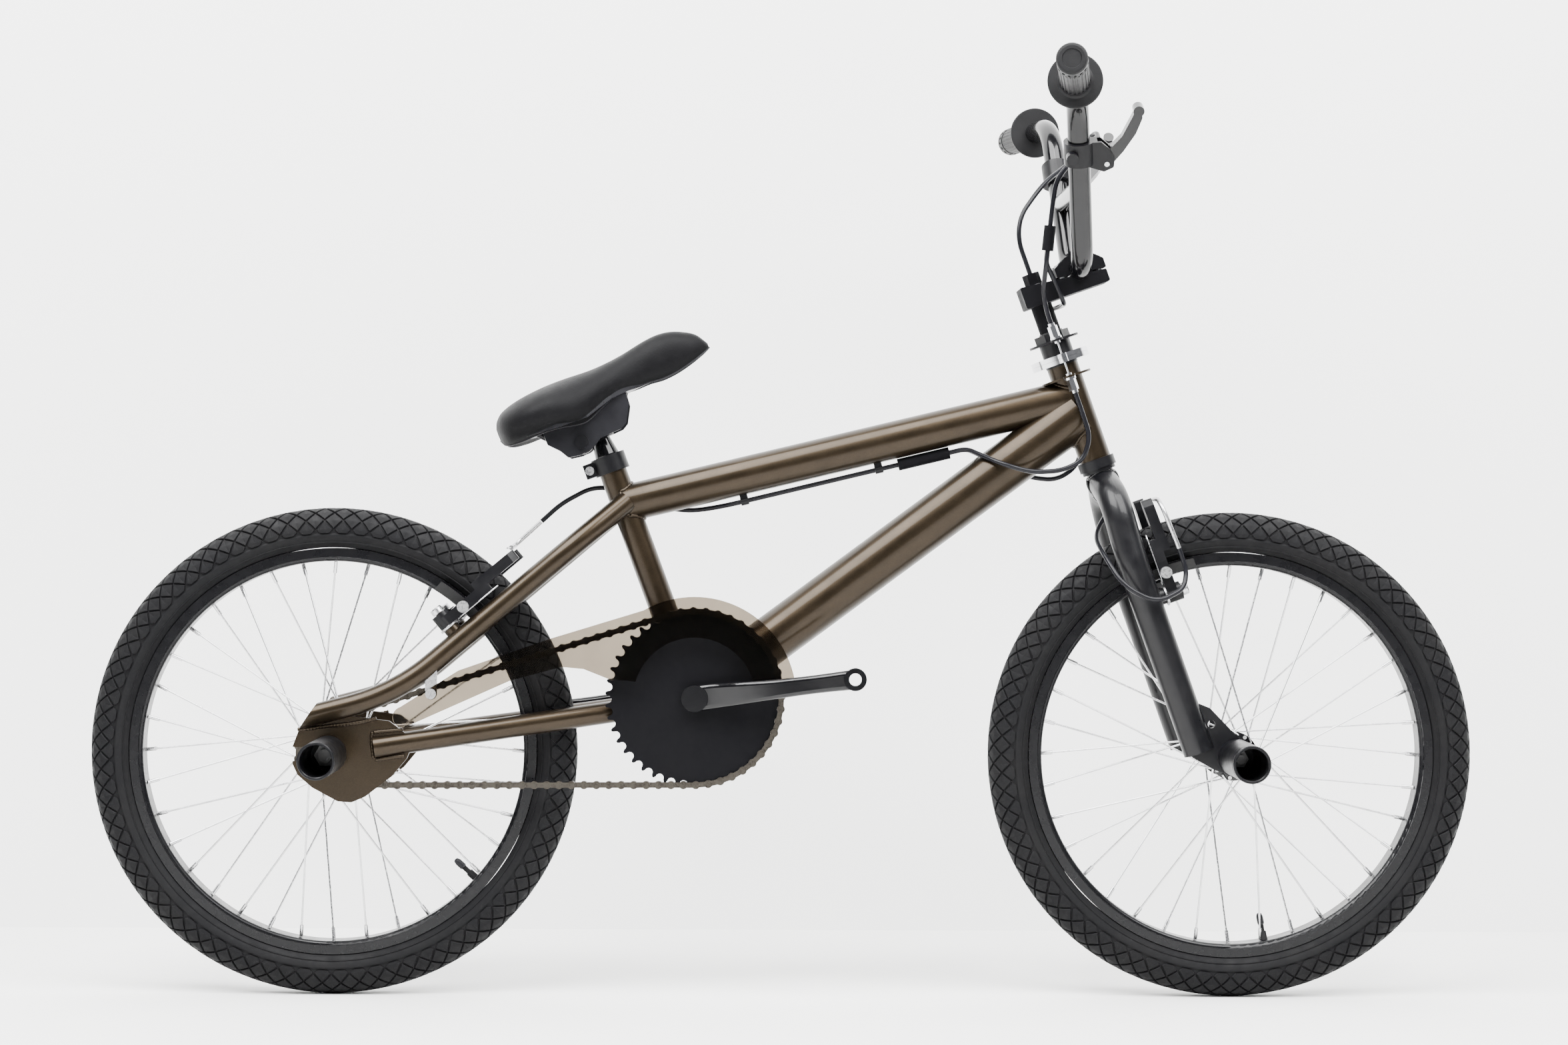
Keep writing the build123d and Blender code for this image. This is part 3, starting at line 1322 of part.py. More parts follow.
def saddle_clamp():
    """Two grooved cheeks and the through bolt that hold the rails on the post."""
    top = bottom_bracket + seat_up * seat_tube_length
    centre = SADDLE.from_local_coords(clamp_centre)
    bolt = clamp_bolt(0.0)
    cheeks = []
    for side in (1, -1):
        cheek = cross_rod(centre, side * 14.6, side * 27.8, 12.5)
        rail_a = SADDLE.from_local_coords(Vector(0, side * rail_spread, rail_height))
        rail_b = SADDLE.from_local_coords(Vector(200, side * rail_spread, rail_height))
        cheek -= rod(rail_a, rail_b, rail_radius + 0.02)
        cheek -= bolt
        cheeks.append(cheek)
    collar = rod(top + seat_up * 22, top + seat_up * 34, 14.2, seat_post_neck / 2 + 0.02)
    return cheeks, bolt, collar


def seat_clamp():
    """A split band on the seat tube, its lug pinched by one bolt behind."""
    top = bottom_bracket + seat_up * seat_tube_length
    low = top - seat_up * 15
    high = top + seat_up * 3
    band = rod(low, high, seat_tube_diameter / 2 + 3.8)
    place = Plane(origin=low + seat_up * 9, x_dir=seat_forward, z_dir=seat_up)
    band += place * (Pos(-21, 0, 0) * Box(13, 17, 15))
    band -= place * (Pos(-24, 0, 0) * Box(24, 2.6, 40))
    band -= rod(low - seat_up, top, seat_tube_diameter / 2 + 0.02)
    band -= rod(low - seat_up, high + seat_up, seat_post_diameter / 2 + 0.3)
    bolt_centre = low + seat_up * 9 - seat_forward * 22
    band -= cross_rod(bolt_centre, -30, 30, 2.6)
    bolt = cross_rod(bolt_centre, -8.6, 13.4, 2.5) + cross_rod(bolt_centre, -13.4, -8.6, 4.6)
    nut = cross_rod(bolt_centre, 8.6, 12.0, 5.2, 2.52)
    return band, bolt, nut


# ---------------------------------------------------------------- assembly
seat_solid, shell_solid, top_solid = frame_tubes()
rear_stays(seat_solid, shell_solid, top_solid)
bearing_cups()

band, seat_bolt, seat_nut = seat_clamp()
screw, strap = guard_screws()
for stay in nodes["seat_stays"]:
    strap -= stay
put("seat_clamp", band)
put("frame_bolts", seat_bolt, seat_nut, screw, strap)
put("chain_guard", chain_guard())
put("rear_axle", axle(rear_hub, rear_axle_diameter / 2, dropout_outer))
put("rear_pegs", both_sides(peg(rear_hub, dropout_outer, rear_axle_diameter / 2)))
put("front_axle", axle(front_hub, front_axle_diameter / 2, fork_plate_outer))
put("front_pegs", both_sides(peg(front_hub, fork_plate_outer, front_axle_diameter / 2)))

for name, hub, axle_radius, width, drive in (
        ("front", front_hub, front_axle_diameter / 2, front_hub_width, False),
        ("rear", rear_hub, rear_axle_diameter / 2, rear_hub_width, True)):
    put(name + "_rim", rim(hub))
    put(name + "_tyre", tyre(hub))
    put(name + "_hub", hub_shell(hub, axle_radius, width, drive))
    put(name + "_spokes", spokes(hub))

put("chain", chain())
put("chainring", chainring())
put("freewheel", freewheel())
put("crank", crank())

put("fork_steerer", fork_steerer())
put("fork_legs", fork_legs())
put("headset_races", *headset_races())
put("stem", stem())
put("stem_cap", stem_cap())
put("stem_bolts", *stem_bolts())
put("handlebar", handlebar())
put("grips", both_sides(grip()))
put("lever_brackets", *[both_sides(piece) for piece in lever_bracket()])
put("brake_lever_left", lever_blade())
put("brake_lever_right", mirrored(lever_blade()))

put("gyro_upper_plate", gyro_plate(upper_plate_seat, steerer_diameter / 2 + 0.02))
put("gyro_lower_plate", gyro_plate(lower_plate_seat, head_tube_diameter / 2 + 0.01) - top_solid)
put("gyro_upper_adjusters", adjuster(upper_adjuster_low, upper_adjuster_high, 1),
    adjuster(upper_adjuster_low, upper_adjuster_high, -1))
put("gyro_lower_adjusters", adjuster(lower_adjuster_high, lower_adjuster_low, 1),
    adjuster(lower_adjuster_high, lower_adjuster_low, -1))
put("gyro_rotor_upper", rotor_upper())
put("gyro_rotor_lower", rotor_lower())

put("gyro_lower_cables", *lower_gyro_cables())
put("cable_splitter", cable_splitter())
put("cable_clips", cable_clips())
put("rear_brake_cable", rear_brake_cable())
put("gyro_upper_cables", *upper_gyro_cables())
put("front_brake_cable", front_brake_cable())

put("rear_brake_arm_left", brake_arm(REAR_BRAKE, rear_hub),
    [REAR_BRAKE * piece for piece in noodle(rear_mouth)])
put("rear_brake_arm_right", [mirrored(s) for s in brake_arm(REAR_BRAKE, rear_hub)])
put("front_brake_arm_right", brake_arm(FRONT_BRAKE, front_hub),
    [FRONT_BRAKE * piece for piece in noodle(front_mouth)])
put("front_brake_arm_left", [mirrored(s) for s in brake_arm(FRONT_BRAKE, front_hub)])

put("saddle_pad", saddle_pad())
put("saddle_base", saddle_base())
put("saddle_rails", saddle_rails(rail_radius))
put("seat_post", seat_post())
put("saddle_clamp", *saddle_clamp())

os.makedirs("parts", exist_ok=True)
for name, solids in nodes.items():
    whole = Compound(children=solids) if len(solids) > 1 else solids[0]
    whole.label = name
    export_step(whole, "parts/" + name + ".step")
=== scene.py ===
import bpy
import math
from mathutils import Matrix, Vector


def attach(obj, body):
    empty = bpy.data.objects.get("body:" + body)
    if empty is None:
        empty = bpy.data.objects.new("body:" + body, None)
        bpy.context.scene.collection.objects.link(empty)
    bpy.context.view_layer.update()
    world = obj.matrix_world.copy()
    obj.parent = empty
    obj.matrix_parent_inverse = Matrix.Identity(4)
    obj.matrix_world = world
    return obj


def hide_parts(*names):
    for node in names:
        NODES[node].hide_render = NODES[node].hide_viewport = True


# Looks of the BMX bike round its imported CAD.  Metres; lengths below are written in mm and
# multiplied by MM.  +X forward, +Y to the rider's left, +Z up.

MM = 0.001
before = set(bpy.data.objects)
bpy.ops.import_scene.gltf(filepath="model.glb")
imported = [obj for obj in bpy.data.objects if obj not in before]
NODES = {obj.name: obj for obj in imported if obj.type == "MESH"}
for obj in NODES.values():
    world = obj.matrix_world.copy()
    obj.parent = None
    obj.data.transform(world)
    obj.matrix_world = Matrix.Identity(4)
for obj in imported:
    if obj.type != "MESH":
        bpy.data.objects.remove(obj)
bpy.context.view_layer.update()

# ---------------------------------------------------------------- sizes shared with the CAD
FRONT_HUB = Vector((463.5, 0, 251)) * MM
REAR_HUB = Vector((-463.5, 0, 251)) * MM
BRACKET = Vector((-91.24, 0, 309)) * MM
STEER_TILT = math.radians(19.7)
STEER_UP = Vector((-math.sin(STEER_TILT), 0, math.cos(STEER_TILT)))
STEER_FORWARD = Vector((math.cos(STEER_TILT), 0, math.sin(STEER_TILT)))
STEER_ORIGIN = FRONT_HUB - STEER_FORWARD * 29.4 * MM
SEAT_LEAN = math.radians(20.4)
SEAT_UP = Vector((-math.sin(SEAT_LEAN), 0, math.cos(SEAT_LEAN)))
STAY_JOINT = BRACKET + SEAT_UP * 212 * MM
SADDLE_TILT = math.radians(22.1)
SADDLE_ORIGIN = Vector((-298.7, 0, 583.7)) * MM
TYRE_RADIUS = 251.0
TYRE_SECTION = 23.5
RIM_RADIUS = 196.0
HEAD_TOP = 438.5
HEAD_BOTTOM = 335.0
HEAD_RADIUS = 16.5
TOP_TUBE_RADIUS = 19.5
DOWN_TUBE_RADIUS = 25.4
SEAT_TUBE_RADIUS = 14.3
SHELL_RADIUS = 28.5
STAY_RADIUS = 11.1
FORK_LEG_RADIUS = 15.9
CROWN_RADIUS = 14.3
WALL_DISTANCE = 0.545           # metres behind the bike's centre plane
ROOM_HALF = 30                  # metres from the middle of the floor to its edges
WALL_HEIGHT = 12

# ---------------------------------------------------------------- camera
LENS = 76.59
DISTANCE = 3.46
EYE_HEIGHT = 0.4892
YAW = math.radians(0.86)
ROLL = math.radians(0.303)


def add_camera():
    """Square on to the drive side, a little turned and rolled as the picture was taken."""
    forward = Vector((math.sin(YAW), math.cos(YAW), 0))
    right = Vector((math.cos(YAW), -math.sin(YAW), 0))
    up = Vector((0, 0, 1))
    rolled_right = right * math.cos(ROLL) + up * math.sin(ROLL)
    rolled_up = up * math.cos(ROLL) - right * math.sin(ROLL)
    data = bpy.data.cameras.new("camera")
    data.sensor_width = 36.0
    data.lens = LENS
    data.clip_start = 0.1
    data.clip_end = 50.0
    camera = bpy.data.objects.new("camera", data)
    bpy.context.scene.collection.objects.link(camera)
    turn = Matrix((rolled_right, rolled_up, -forward)).transposed()
    camera.matrix_world = Matrix.Translation(Vector((0, 0, EYE_HEIGHT)) - forward * DISTANCE) @ turn.to_4x4()
    bpy.context.scene.camera = camera


# ---------------------------------------------------------------- mesh helpers
def steer(forward, left, along):
    """A place given in mm forward of, left of and along the steering axis."""
    return STEER_ORIGIN + (STEER_FORWARD * forward + Vector((0, left, 0)) + STEER_UP * along) * MM


def saddle_place(along, left, high):
    forward = Vector((math.cos(SADDLE_TILT), 0, math.sin(SADDLE_TILT)))
    upward = Vector((-math.sin(SADDLE_TILT), 0, math.cos(SADDLE_TILT)))
    return SADDLE_ORIGIN + (forward * along + Vector((0, left, 0)) + upward * high) * MM


def add_mesh(name, vertices, faces, surface, smooth=True):
    mesh = bpy.data.meshes.new(name)
    mesh.from_pydata([tuple(v) for v in vertices], [], faces)
    mesh.update()
    mesh.materials.append(surface)
    for polygon in mesh.polygons:
        polygon.use_smooth = smooth
    made = bpy.data.objects.new(name, mesh)
    bpy.context.scene.collection.objects.link(made)
    return made


def grid_faces(rows, columns, closed_rows, closed_columns):
    """Quads joining a grid of vertices laid out row by row."""
    faces = []
    for row in range(rows if closed_rows else rows - 1):
        for column in range(columns if closed_columns else columns - 1):
            after_row = (row + 1) % rows
            after_column = (column + 1) % columns
            faces.append((row * columns + column, row * columns + after_column,
                          after_row * columns + after_column, after_row * columns + column))
    return faces


def frame_about(direction):
    """Two unit vectors square to a direction."""
    direction = direction.normalized()
    side = direction.cross(Vector((0, 0, 1)))
    if side.length < 0.1:
        side = direction.cross(Vector((0, 1, 0)))
    side.normalize()
    return side, direction.cross(side).normalized()


def turned_piece(name, start, direction, profile, surface, segments=48, ripple=None):
    """A solid of revolution: profile is (distance along, radius) in mm, closed at both ends."""
    side, other = frame_about(direction)
    direction = direction.normalized()
    vertices = []
    for along, radius in profile:
        for number in range(segments):
            angle = 2 * math.pi * number / segments
            reach = radius + (ripple(along, angle) if ripple else 0.0)
            vertices.append(start + (direction * along + (side * math.cos(angle)
                                                          + other * math.sin(angle)) * reach) * MM)
    faces = grid_faces(len(profile), segments, False, True)
    faces.append(tuple(range(segments)))
    last = (len(profile) - 1) * segments
    faces.append(tuple(last + number for number in reversed(range(segments))))
    return add_mesh(name, vertices, faces, surface)


def tube_along(name, points, radius, surface, segments=10, closed=False):
    """A round bead or wire through points; radius is one value in mm or one for each point."""
    count = len(points)
    radii = radius if isinstance(radius, list) else [radius] * count
    vertices = []
    side = None
    for number, point in enumerate(points):
        before = points[number - 1] if number > 0 or closed else points[0]
        after = points[(number + 1) % count] if number < count - 1 or closed else points[-1]
        tangent = (after - before).normalized()
        if side is None:
            side, other = frame_about(tangent)
        else:
            side = (side - tangent * side.dot(tangent)).normalized()
            other = tangent.cross(side)
        for step in range(segments):
            angle = 2 * math.pi * step / segments
            vertices.append(point + (side * math.cos(angle) + other * math.sin(angle)) * radii[number] * MM)
    faces = grid_faces(count, segments, closed, True)
    if not closed:
        faces.append(tuple(reversed(range(segments))))
        faces.append(tuple((count - 1) * segments + step for step in range(segments)))
    return add_mesh(name, vertices, faces, surface)


# ---------------------------------------------------------------- material helpers
def shader(name, colour, roughness, metallic=0.0, specular=0.5):
    """A material with its principled shader set; returns the material, its tree and the shader."""
    material = bpy.data.materials.new(name)
    material.use_nodes = True
    tree = material.node_tree
    principled = tree.nodes["Principled BSDF"]
    principled.inputs["Base Color"].default_value = (*colour, 1.0)
    principled.inputs["Roughness"].default_value = roughness
    principled.inputs["Metallic"].default_value = metallic
    principled.inputs["Specular IOR Level"].default_value = specular
    return material, tree, principled


def coordinates(tree, stretch=(1, 1, 1)):
    """Object coordinates, stretched to draw a grain out along one axis."""
    source = tree.nodes.new("ShaderNodeTexCoord")
    mapping = tree.nodes.new("ShaderNodeMapping")
    mapping.inputs["Scale"].default_value = stretch
    tree.links.new(source.outputs["Object"], mapping.inputs["Vector"])
    return mapping.outputs["Vector"]


def noise(tree, place, scale, detail=6.0, roughness=0.6):
    node = tree.nodes.new("ShaderNodeTexNoise")
    node.inputs["Scale"].default_value = scale
    node.inputs["Detail"].default_value = detail
    node.inputs["Roughness"].default_value = roughness
    tree.links.new(place, node.inputs["Vector"])
    return node.outputs["Fac"]


def spread(tree, value, low, high, from_low=0.3, from_high=0.7):
    """Maps a noise value on to a range."""
    node = tree.nodes.new("ShaderNodeMapRange")
    node.inputs["From Min"].default_value = from_low
    node.inputs["From Max"].default_value = from_high
    node.inputs["To Min"].default_value = low
    node.inputs["To Max"].default_value = high
    tree.links.new(value, node.inputs["Value"])
    return node.outputs["Result"]


def blend_colours(tree, factor, first, second):
    """Mixes two colours, each a triple or another node's output."""
    node = tree.nodes.new("ShaderNodeMix")
    node.data_type = "RGBA"
    tree.links.new(factor, node.inputs["Factor"])
    for socket, colour in ((node.inputs[6], first), (node.inputs[7], second)):
        if isinstance(colour, tuple):
            socket.default_value = (*colour, 1.0)
        else:
            tree.links.new(colour, socket)
    return node.outputs[2]


def bump(tree, principled, height, strength, distance, under=None):
    node = tree.nodes.new("ShaderNodeBump")
    node.inputs["Strength"].default_value = strength
    node.inputs["Distance"].default_value = distance
    tree.links.new(height, node.inputs["Height"])
    if under is not None:
        tree.links.new(under, node.inputs["Normal"])
    tree.links.new(node.outputs["Normal"], principled.inputs["Normal"])
    return node.outputs["Normal"]


def scaled(colour, factor):
    return tuple(min(1.0, channel * factor) for channel in colour)


# ---------------------------------------------------------------- materials
def frame_paint():
    """Bronze metallic paint: fine bright flake under a clear coat, faint dust in the orange peel."""
    colour = (0.0205, 0.0146, 0.0088)
    material, tree, principled = shader("frame_paint", colour, 0.34, 0.85, 0.15)
    place = coordinates(tree)
    flake = tree.nodes.new("ShaderNodeTexVoronoi")
    flake.inputs["Scale"].default_value = 2600.0
    tree.links.new(place, flake.inputs["Vector"])
    cloud = noise(tree, place, 9.0)
    tone = blend_colours(tree, spread(tree, cloud, 0.0, 1.0), scaled(colour, 0.86), scaled(colour, 1.16))
    sparkle = spread(tree, flake.outputs["Distance"], 0.35, 0.0, 0.0, 0.5)
    tree.links.new(blend_colours(tree, sparkle, tone, (0.098, 0.073, 0.044)),
                   principled.inputs["Base Color"])
    tree.links.new(spread(tree, noise(tree, place, 38.0), 0.29, 0.42), principled.inputs["Roughness"])
    bump(tree, principled, noise(tree, place, 420.0, 2.0), 0.09, 0.0004)
    principled.inputs["Coat Weight"].default_value = 0.16
    principled.inputs["Coat Roughness"].default_value = 0.12
    return material


def black_paint(name, base, roughness, coat, peel, specular=0.05, tint=(0.0026, 0.0026, 0.0033)):
    """Sprayed black enamel or powder coat, with peel in its surface and dust that dulls it in places."""
    material, tree, principled = shader(name, tint, roughness, 0.0, specular)
    place = coordinates(tree)
    dust = spread(tree, noise(tree, place, 14.0, 8.0), 0.0, 0.30, 0.45, 0.85)
    tree.links.new(blend_colours(tree, dust, scaled(tint, base), (0.0055, 0.0054, 0.0054)),
                   principled.inputs["Base Color"])
    tree.links.new(spread(tree, noise(tree, place, 60.0), roughness * 0.8, roughness * 1.3),
                   principled.inputs["Roughness"])
    bump(tree, principled, noise(tree, place, peel, 3.0), 0.12, 0.0003)
    principled.inputs["Coat Weight"].default_value = coat
    principled.inputs["Coat Roughness"].default_value = 0.06
    return material


def bare_metal(name, colour, roughness, streak=(1, 1, 1), scratch=500.0):
    """Steel or plating: fine scratches drawn out along the part and a slow change of tone."""
    material, tree, principled = shader(name, colour, roughness, 1.0)
    place = coordinates(tree, streak)
    fine = noise(tree, place, scratch, 4.0)
    slow = noise(tree, coordinates(tree), 30.0)
    tree.links.new(blend_colours(tree, spread(tree, slow, 0.0, 1.0), scaled(colour, 0.78), colour),
                   principled.inputs["Base Color"])
    tree.links.new(spread(tree, fine, roughness * 0.7, roughness * 1.4), principled.inputs["Roughness"])
    bump(tree, principled, fine, 0.06, 0.0002)
    return material


def chain_steel():
    """Oiled link plates: dark grey steel with black grime between."""
    material, tree, principled = shader("chain_steel", (0.06, 0.053, 0.044), 0.36, 1.0)
    place = coordinates(tree)
    grime = spread(tree, noise(tree, place, 260.0), 0.0, 0.75, 0.45, 0.75)
    tree.links.new(blend_colours(tree, grime, (0.066, 0.059, 0.050), (0.012, 0.0105, 0.009)),
                   principled.inputs["Base Color"])
    tree.links.new(spread(tree, grime, 0.28, 0.6, 0.0, 1.0), principled.inputs["Roughness"])
    bump(tree, principled, noise(tree, place, 900.0), 0.15, 0.0003)
    return material


def tyre_rubber():
    """Black rubber, greyer where dust lies, with a fine moulded grain."""
    material, tree, principled = shader("tyre_rubber", (0.0055, 0.0055, 0.006), 0.62, 0.0, 0.09)
    place = coordinates(tree)
    dust = spread(tree, noise(tree, place, 22.0, 9.0, 0.7), 0.0, 0.55, 0.42, 0.80)
    tree.links.new(blend_colours(tree, dust, (0.0048, 0.0048, 0.0054), (0.0095, 0.0093, 0.0092)),
                   principled.inputs["Base Color"])
    tree.links.new(spread(tree, noise(tree, place, 90.0), 0.48, 0.74), principled.inputs["Roughness"])
    bump(tree, principled, noise(tree, place, 1400.0, 3.0), 0.22, 0.0004)
    return material


def moulded_plastic(name, colour, roughness, grain, height):
    """Moulded plastic or rubber with a pebbled skin."""
    material, tree, principled = shader(name, colour, roughness, 0.0, 0.15)
    place = coordinates(tree)
    cells = tree.nodes.new("ShaderNodeTexVoronoi")
    cells.inputs["Scale"].default_value = grain
    tree.links.new(place, cells.inputs["Vector"])
    cloud = noise(tree, place, 26.0, 7.0)
    tone = blend_colours(tree, spread(tree, cloud, 0.0, 1.0), scaled(colour, 0.8),
                         scaled(colour, 1.35))
    tree.links.new(tone, principled.inputs["Base Color"])
    tree.links.new(spread(tree, cloud, roughness * 0.85, roughness * 1.15), principled.inputs["Roughness"])
    bump(tree, principled, cells.outputs["Distance"], 0.3, height)
    return material


def smoked_plastic():
    """Brown-grey see-through sheet with rubbed scuffs."""
    material, tree, principled = shader("smoked_plastic", (0.20, 0.165, 0.125), 0.06)
    place = coordinates(tree)
    scuff = noise(tree, coordinates(tree, (1, 1, 6)), 130.0, 8.0)
    tree.links.new(spread(tree, scuff, 0.05, 0.30, 0.45, 0.8), principled.inputs["Roughness"])
    tree.links.new(blend_colours(tree, spread(tree, noise(tree, place, 16.0), 0.0, 1.0),
                                 (0.185, 0.155, 0.118), (0.22, 0.185, 0.142)),
                   principled.inputs["Base Color"])
    bump(tree, principled, scuff, 0.05, 0.0002)
    principled.inputs["Transmission Weight"].default_value = 1.0
    principled.inputs["IOR"].default_value = 1.2
    return material


def saddle_cover():
    """Black vinyl: pebbled grain with faint creases, and painted shade that darkens the vinyl in the low
    folds of the creases.
    """
    material, tree, principled = shader("saddle_cover", (0.003, 0.003, 0.0036), 0.5, 0.0, 0.07)
    place = coordinates(tree)
    pebble = tree.nodes.new("ShaderNodeTexVoronoi")
    pebble.inputs["Scale"].default_value = 620.0
    tree.links.new(place, pebble.inputs["Vector"])
    crease_and_painted_shade = noise(tree, place, 55.0, 9.0, 0.7)
    # painted shade: the colour follows the crease relief, darker in its low folds and lighter on its ridges
    tree.links.new(blend_colours(tree, spread(tree, crease_and_painted_shade, 0.0, 1.0), (0.0024, 0.0024, 0.0029),
                                 (0.0038, 0.0038, 0.0043)), principled.inputs["Base Color"])
    tree.links.new(spread(tree, crease_and_painted_shade, 0.44, 0.60), principled.inputs["Roughness"])
    under = bump(tree, principled, crease_and_painted_shade, 0.10, 0.0008)
    bump(tree, principled, pebble.outputs["Distance"], 0.25, 0.0004, under)
    return material


def room_surface(name, colour, blotch):
    """Painted wall or swept floor: slow blotches and a fine grain."""
    material, tree, principled = shader(name, colour, 0.8)
    place = coordinates(tree)
    tree.links.new(blend_colours(tree, spread(tree, noise(tree, place, 1.4, 5.0), 0.0, 1.0),
                                 scaled(colour, 1.0 - blotch), colour), principled.inputs["Base Color"])
    bump(tree, principled, noise(tree, place, 90.0, 8.0), 0.10, 0.002)
    return material


PAINT = frame_paint()
GLOSS_BLACK = black_paint("gloss_black", 0.8, 0.16, 0.35, 300.0, 0.15)
SATIN_BLACK = black_paint("satin_black", 1.1, 0.36, 0.06, 700.0, 0.14)
MATT_BLACK = black_paint("matt_black", 1.2, 0.58, 0.0, 900.0)
FORK_BLACK = black_paint("fork_black", 1.2, 0.34, 0.1, 400.0, 0.2)
RIM_BLACK = black_paint("rim_black", 1.0, 0.27, 0.12, 500.0, 0.15)
STEEL = bare_metal("bolt_steel", (0.56, 0.56, 0.57), 0.28)
SPOKE_STEEL = bare_metal("spoke_steel", (0.66, 0.66, 0.67), 0.24)
CHROME = bare_metal("chrome", (0.80, 0.80, 0.82), 0.10, scratch=900.0)
CHAIN = chain_steel()
RUBBER = tyre_rubber()
GRIP = moulded_plastic("grip_rubber", (0.0065, 0.0065, 0.007), 0.5, 900.0, 0.0002)
HOUSING = moulded_plastic("cable_housing", (0.006, 0.006, 0.0075), 0.22, 1500.0, 0.0001)
DARK_PLASTIC = moulded_plastic("dark_plastic", (0.008, 0.008, 0.0095), 0.3, 800.0, 0.0002)
PAD_RUBBER = moulded_plastic("pad_rubber", (0.011, 0.011, 0.011), 0.7, 700.0, 0.0002)
DARK_STEEL = bare_metal("dark_steel", (0.10, 0.10, 0.10), 0.35)
GUARD = smoked_plastic()
COVER = saddle_cover()

NODE_SURFACES = {
    "head_tube": PAINT, "top_tube": PAINT, "down_tube": PAINT, "seat_tube": PAINT,
    "bottom_bracket_shell": PAINT, "seat_stays": PAINT, "chain_stays": PAINT,
    "rear_dropouts": PAINT, "gyro_lower_plate": PAINT,
    "bearing_cups": SATIN_BLACK, "seat_clamp": SATIN_BLACK, "frame_bolts": STEEL,
    "rear_axle": DARK_STEEL, "front_axle": DARK_STEEL, "rear_pegs": SATIN_BLACK, "front_pegs": SATIN_BLACK,
    "chain_guard": GUARD, "chain": CHAIN, "freewheel": CHAIN,
    "gyro_lower_adjusters": CHROME, "gyro_upper_adjusters": CHROME,
    "gyro_rotor_upper": CHROME, "gyro_rotor_lower": CHROME, "gyro_upper_plate": SATIN_BLACK,
    "gyro_lower_cables": HOUSING, "cable_splitter": MATT_BLACK, "rear_brake_cable": HOUSING,
    "cable_clips": SATIN_BLACK, "gyro_upper_cables": HOUSING, "front_brake_cable": HOUSING,
    "seat_post": GLOSS_BLACK, "saddle_clamp": SATIN_BLACK, "saddle_rails": SATIN_BLACK,
    "saddle_base": DARK_PLASTIC, "fork_steerer": GLOSS_BLACK, "fork_legs": FORK_BLACK,
    "headset_races": SATIN_BLACK, "stem": MATT_BLACK, "stem_cap": MATT_BLACK, "stem_bolts": STEEL,
    "handlebar": GLOSS_BLACK, "lever_brackets": SATIN_BLACK,
    "brake_lever_left": GLOSS_BLACK, "brake_lever_right": GLOSS_BLACK,
    "front_brake_arm_left": SATIN_BLACK, "front_brake_arm_right": SATIN_BLACK,
    "rear_brake_arm_left": SATIN_BLACK, "rear_brake_arm_right": SATIN_BLACK,
    "front_hub": GLOSS_BLACK, "rear_hub": GLOSS_BLACK, "front_spokes": SPOKE_STEEL,
    "rear_spokes": SPOKE_STEEL, "front_rim": RIM_BLACK, "rear_rim": RIM_BLACK,
    "crank": GLOSS_BLACK, "chainring": MATT_BLACK,
    "front_tyre": RUBBER, "rear_tyre": RUBBER, "saddle_pad": COVER, "grips": GRIP}


def islands(mesh):
    """Each vertex's loose piece, as a number."""
    parent = list(range(len(mesh.vertices)))

    def root(index):
        while parent[index] != index:
            parent[index] = parent[parent[index]]
            index = parent[index]
        return index

    merged = {}
    for vertex in mesh.vertices:
        key = tuple(round(c, 6) for c in vertex.co)
        if key in merged:
            parent[root(vertex.index)] = root(merged[key])
        else:
            merged[key] = vertex.index
    for edge in mesh.edges:
        parent[root(edge.vertices[0])] = root(edge.vertices[1])
    return [root(index) for index in range(len(mesh.vertices))]


def piece_sizes(mesh, piece_of):
    """Longest side of each loose piece, in mm."""
    lows, highs = {}, {}
    for vertex in mesh.vertices:
        key = piece_of[vertex.index]
        lows[key] = [min(a, b) for a, b in zip(lows.get(key, vertex.co), vertex.co)]
        highs[key] = [max(a, b) for a, b in zip(highs.get(key, vertex.co), vertex.co)]
    return {key: [(b - a) / MM for a, b in zip(lows[key], highs[key])] for key in lows}


def paint_pieces(node, surfaces, choose):
    """Gives each loose piece of a CAD node one of several materials, by its size in mm."""
    mesh = NODES[node].data
    mesh.materials.clear()
    for surface in surfaces:
        mesh.materials.append(surface)
    piece_of = islands(mesh)
    sizes = piece_sizes(mesh, piece_of)
    for polygon in mesh.polygons:
        polygon.material_index = choose(sizes[piece_of[polygon.vertices[0]]])


def choose_brake_piece(size):
    """0 the arm, 1 the pad, 2 bolts, cap, nut and noodle."""
    longest = max(size)
    if longest > 84 and min(size) > 12:
        return 0 if size[1] < 45 else 2
    if longest > 50 and size[1] < 14:
        return 1
    return 2


def dress_cad():
    for node, surface in NODE_SURFACES.items():
        mesh = NODES[node].data
        mesh.materials.clear()
        mesh.materials.append(surface)
    for node in ("front_brake_arm_left", "front_brake_arm_right", "rear_brake_arm_left",
                 "rear_brake_arm_right"):
        paint_pieces(node, [SATIN_BLACK, PAD_RUBBER, STEEL], choose_brake_piece)
    paint_pieces("stem_bolts", [STEEL, MATT_BLACK], lambda size: 1 if max(size) > 60 else 0)
    paint_pieces("gyro_upper_cables", [HOUSING, MATT_BLACK], lambda size: 1 if max(size) < 32 else 0)
    paint_pieces("lever_brackets", [SATIN_BLACK, CHROME, STEEL],
                 lambda size: 0 if max(size) > 30 else (1 if max(size) < 14.5 else 2))
    paint_pieces("headset_races", [SATIN_BLACK, STEEL], lambda size: 1 if size[1] > 36 else 0)


# ---------------------------------------------------------------- tyres
TREAD_DEPTH = 2.1
BLOCKS_ROUND = 78
ROW_SPACING = 25.0              # degrees round the casing
ROWS = 8
TREAD_EDGE = 96.0               # degrees round the casing where the blocks are cut off
RIDGE_ANGLE = 121               # degrees round the casing of the moulded line on each wall
BLOCK_SIDES = 4                 # steps along each side of a block, so that it follows the casing


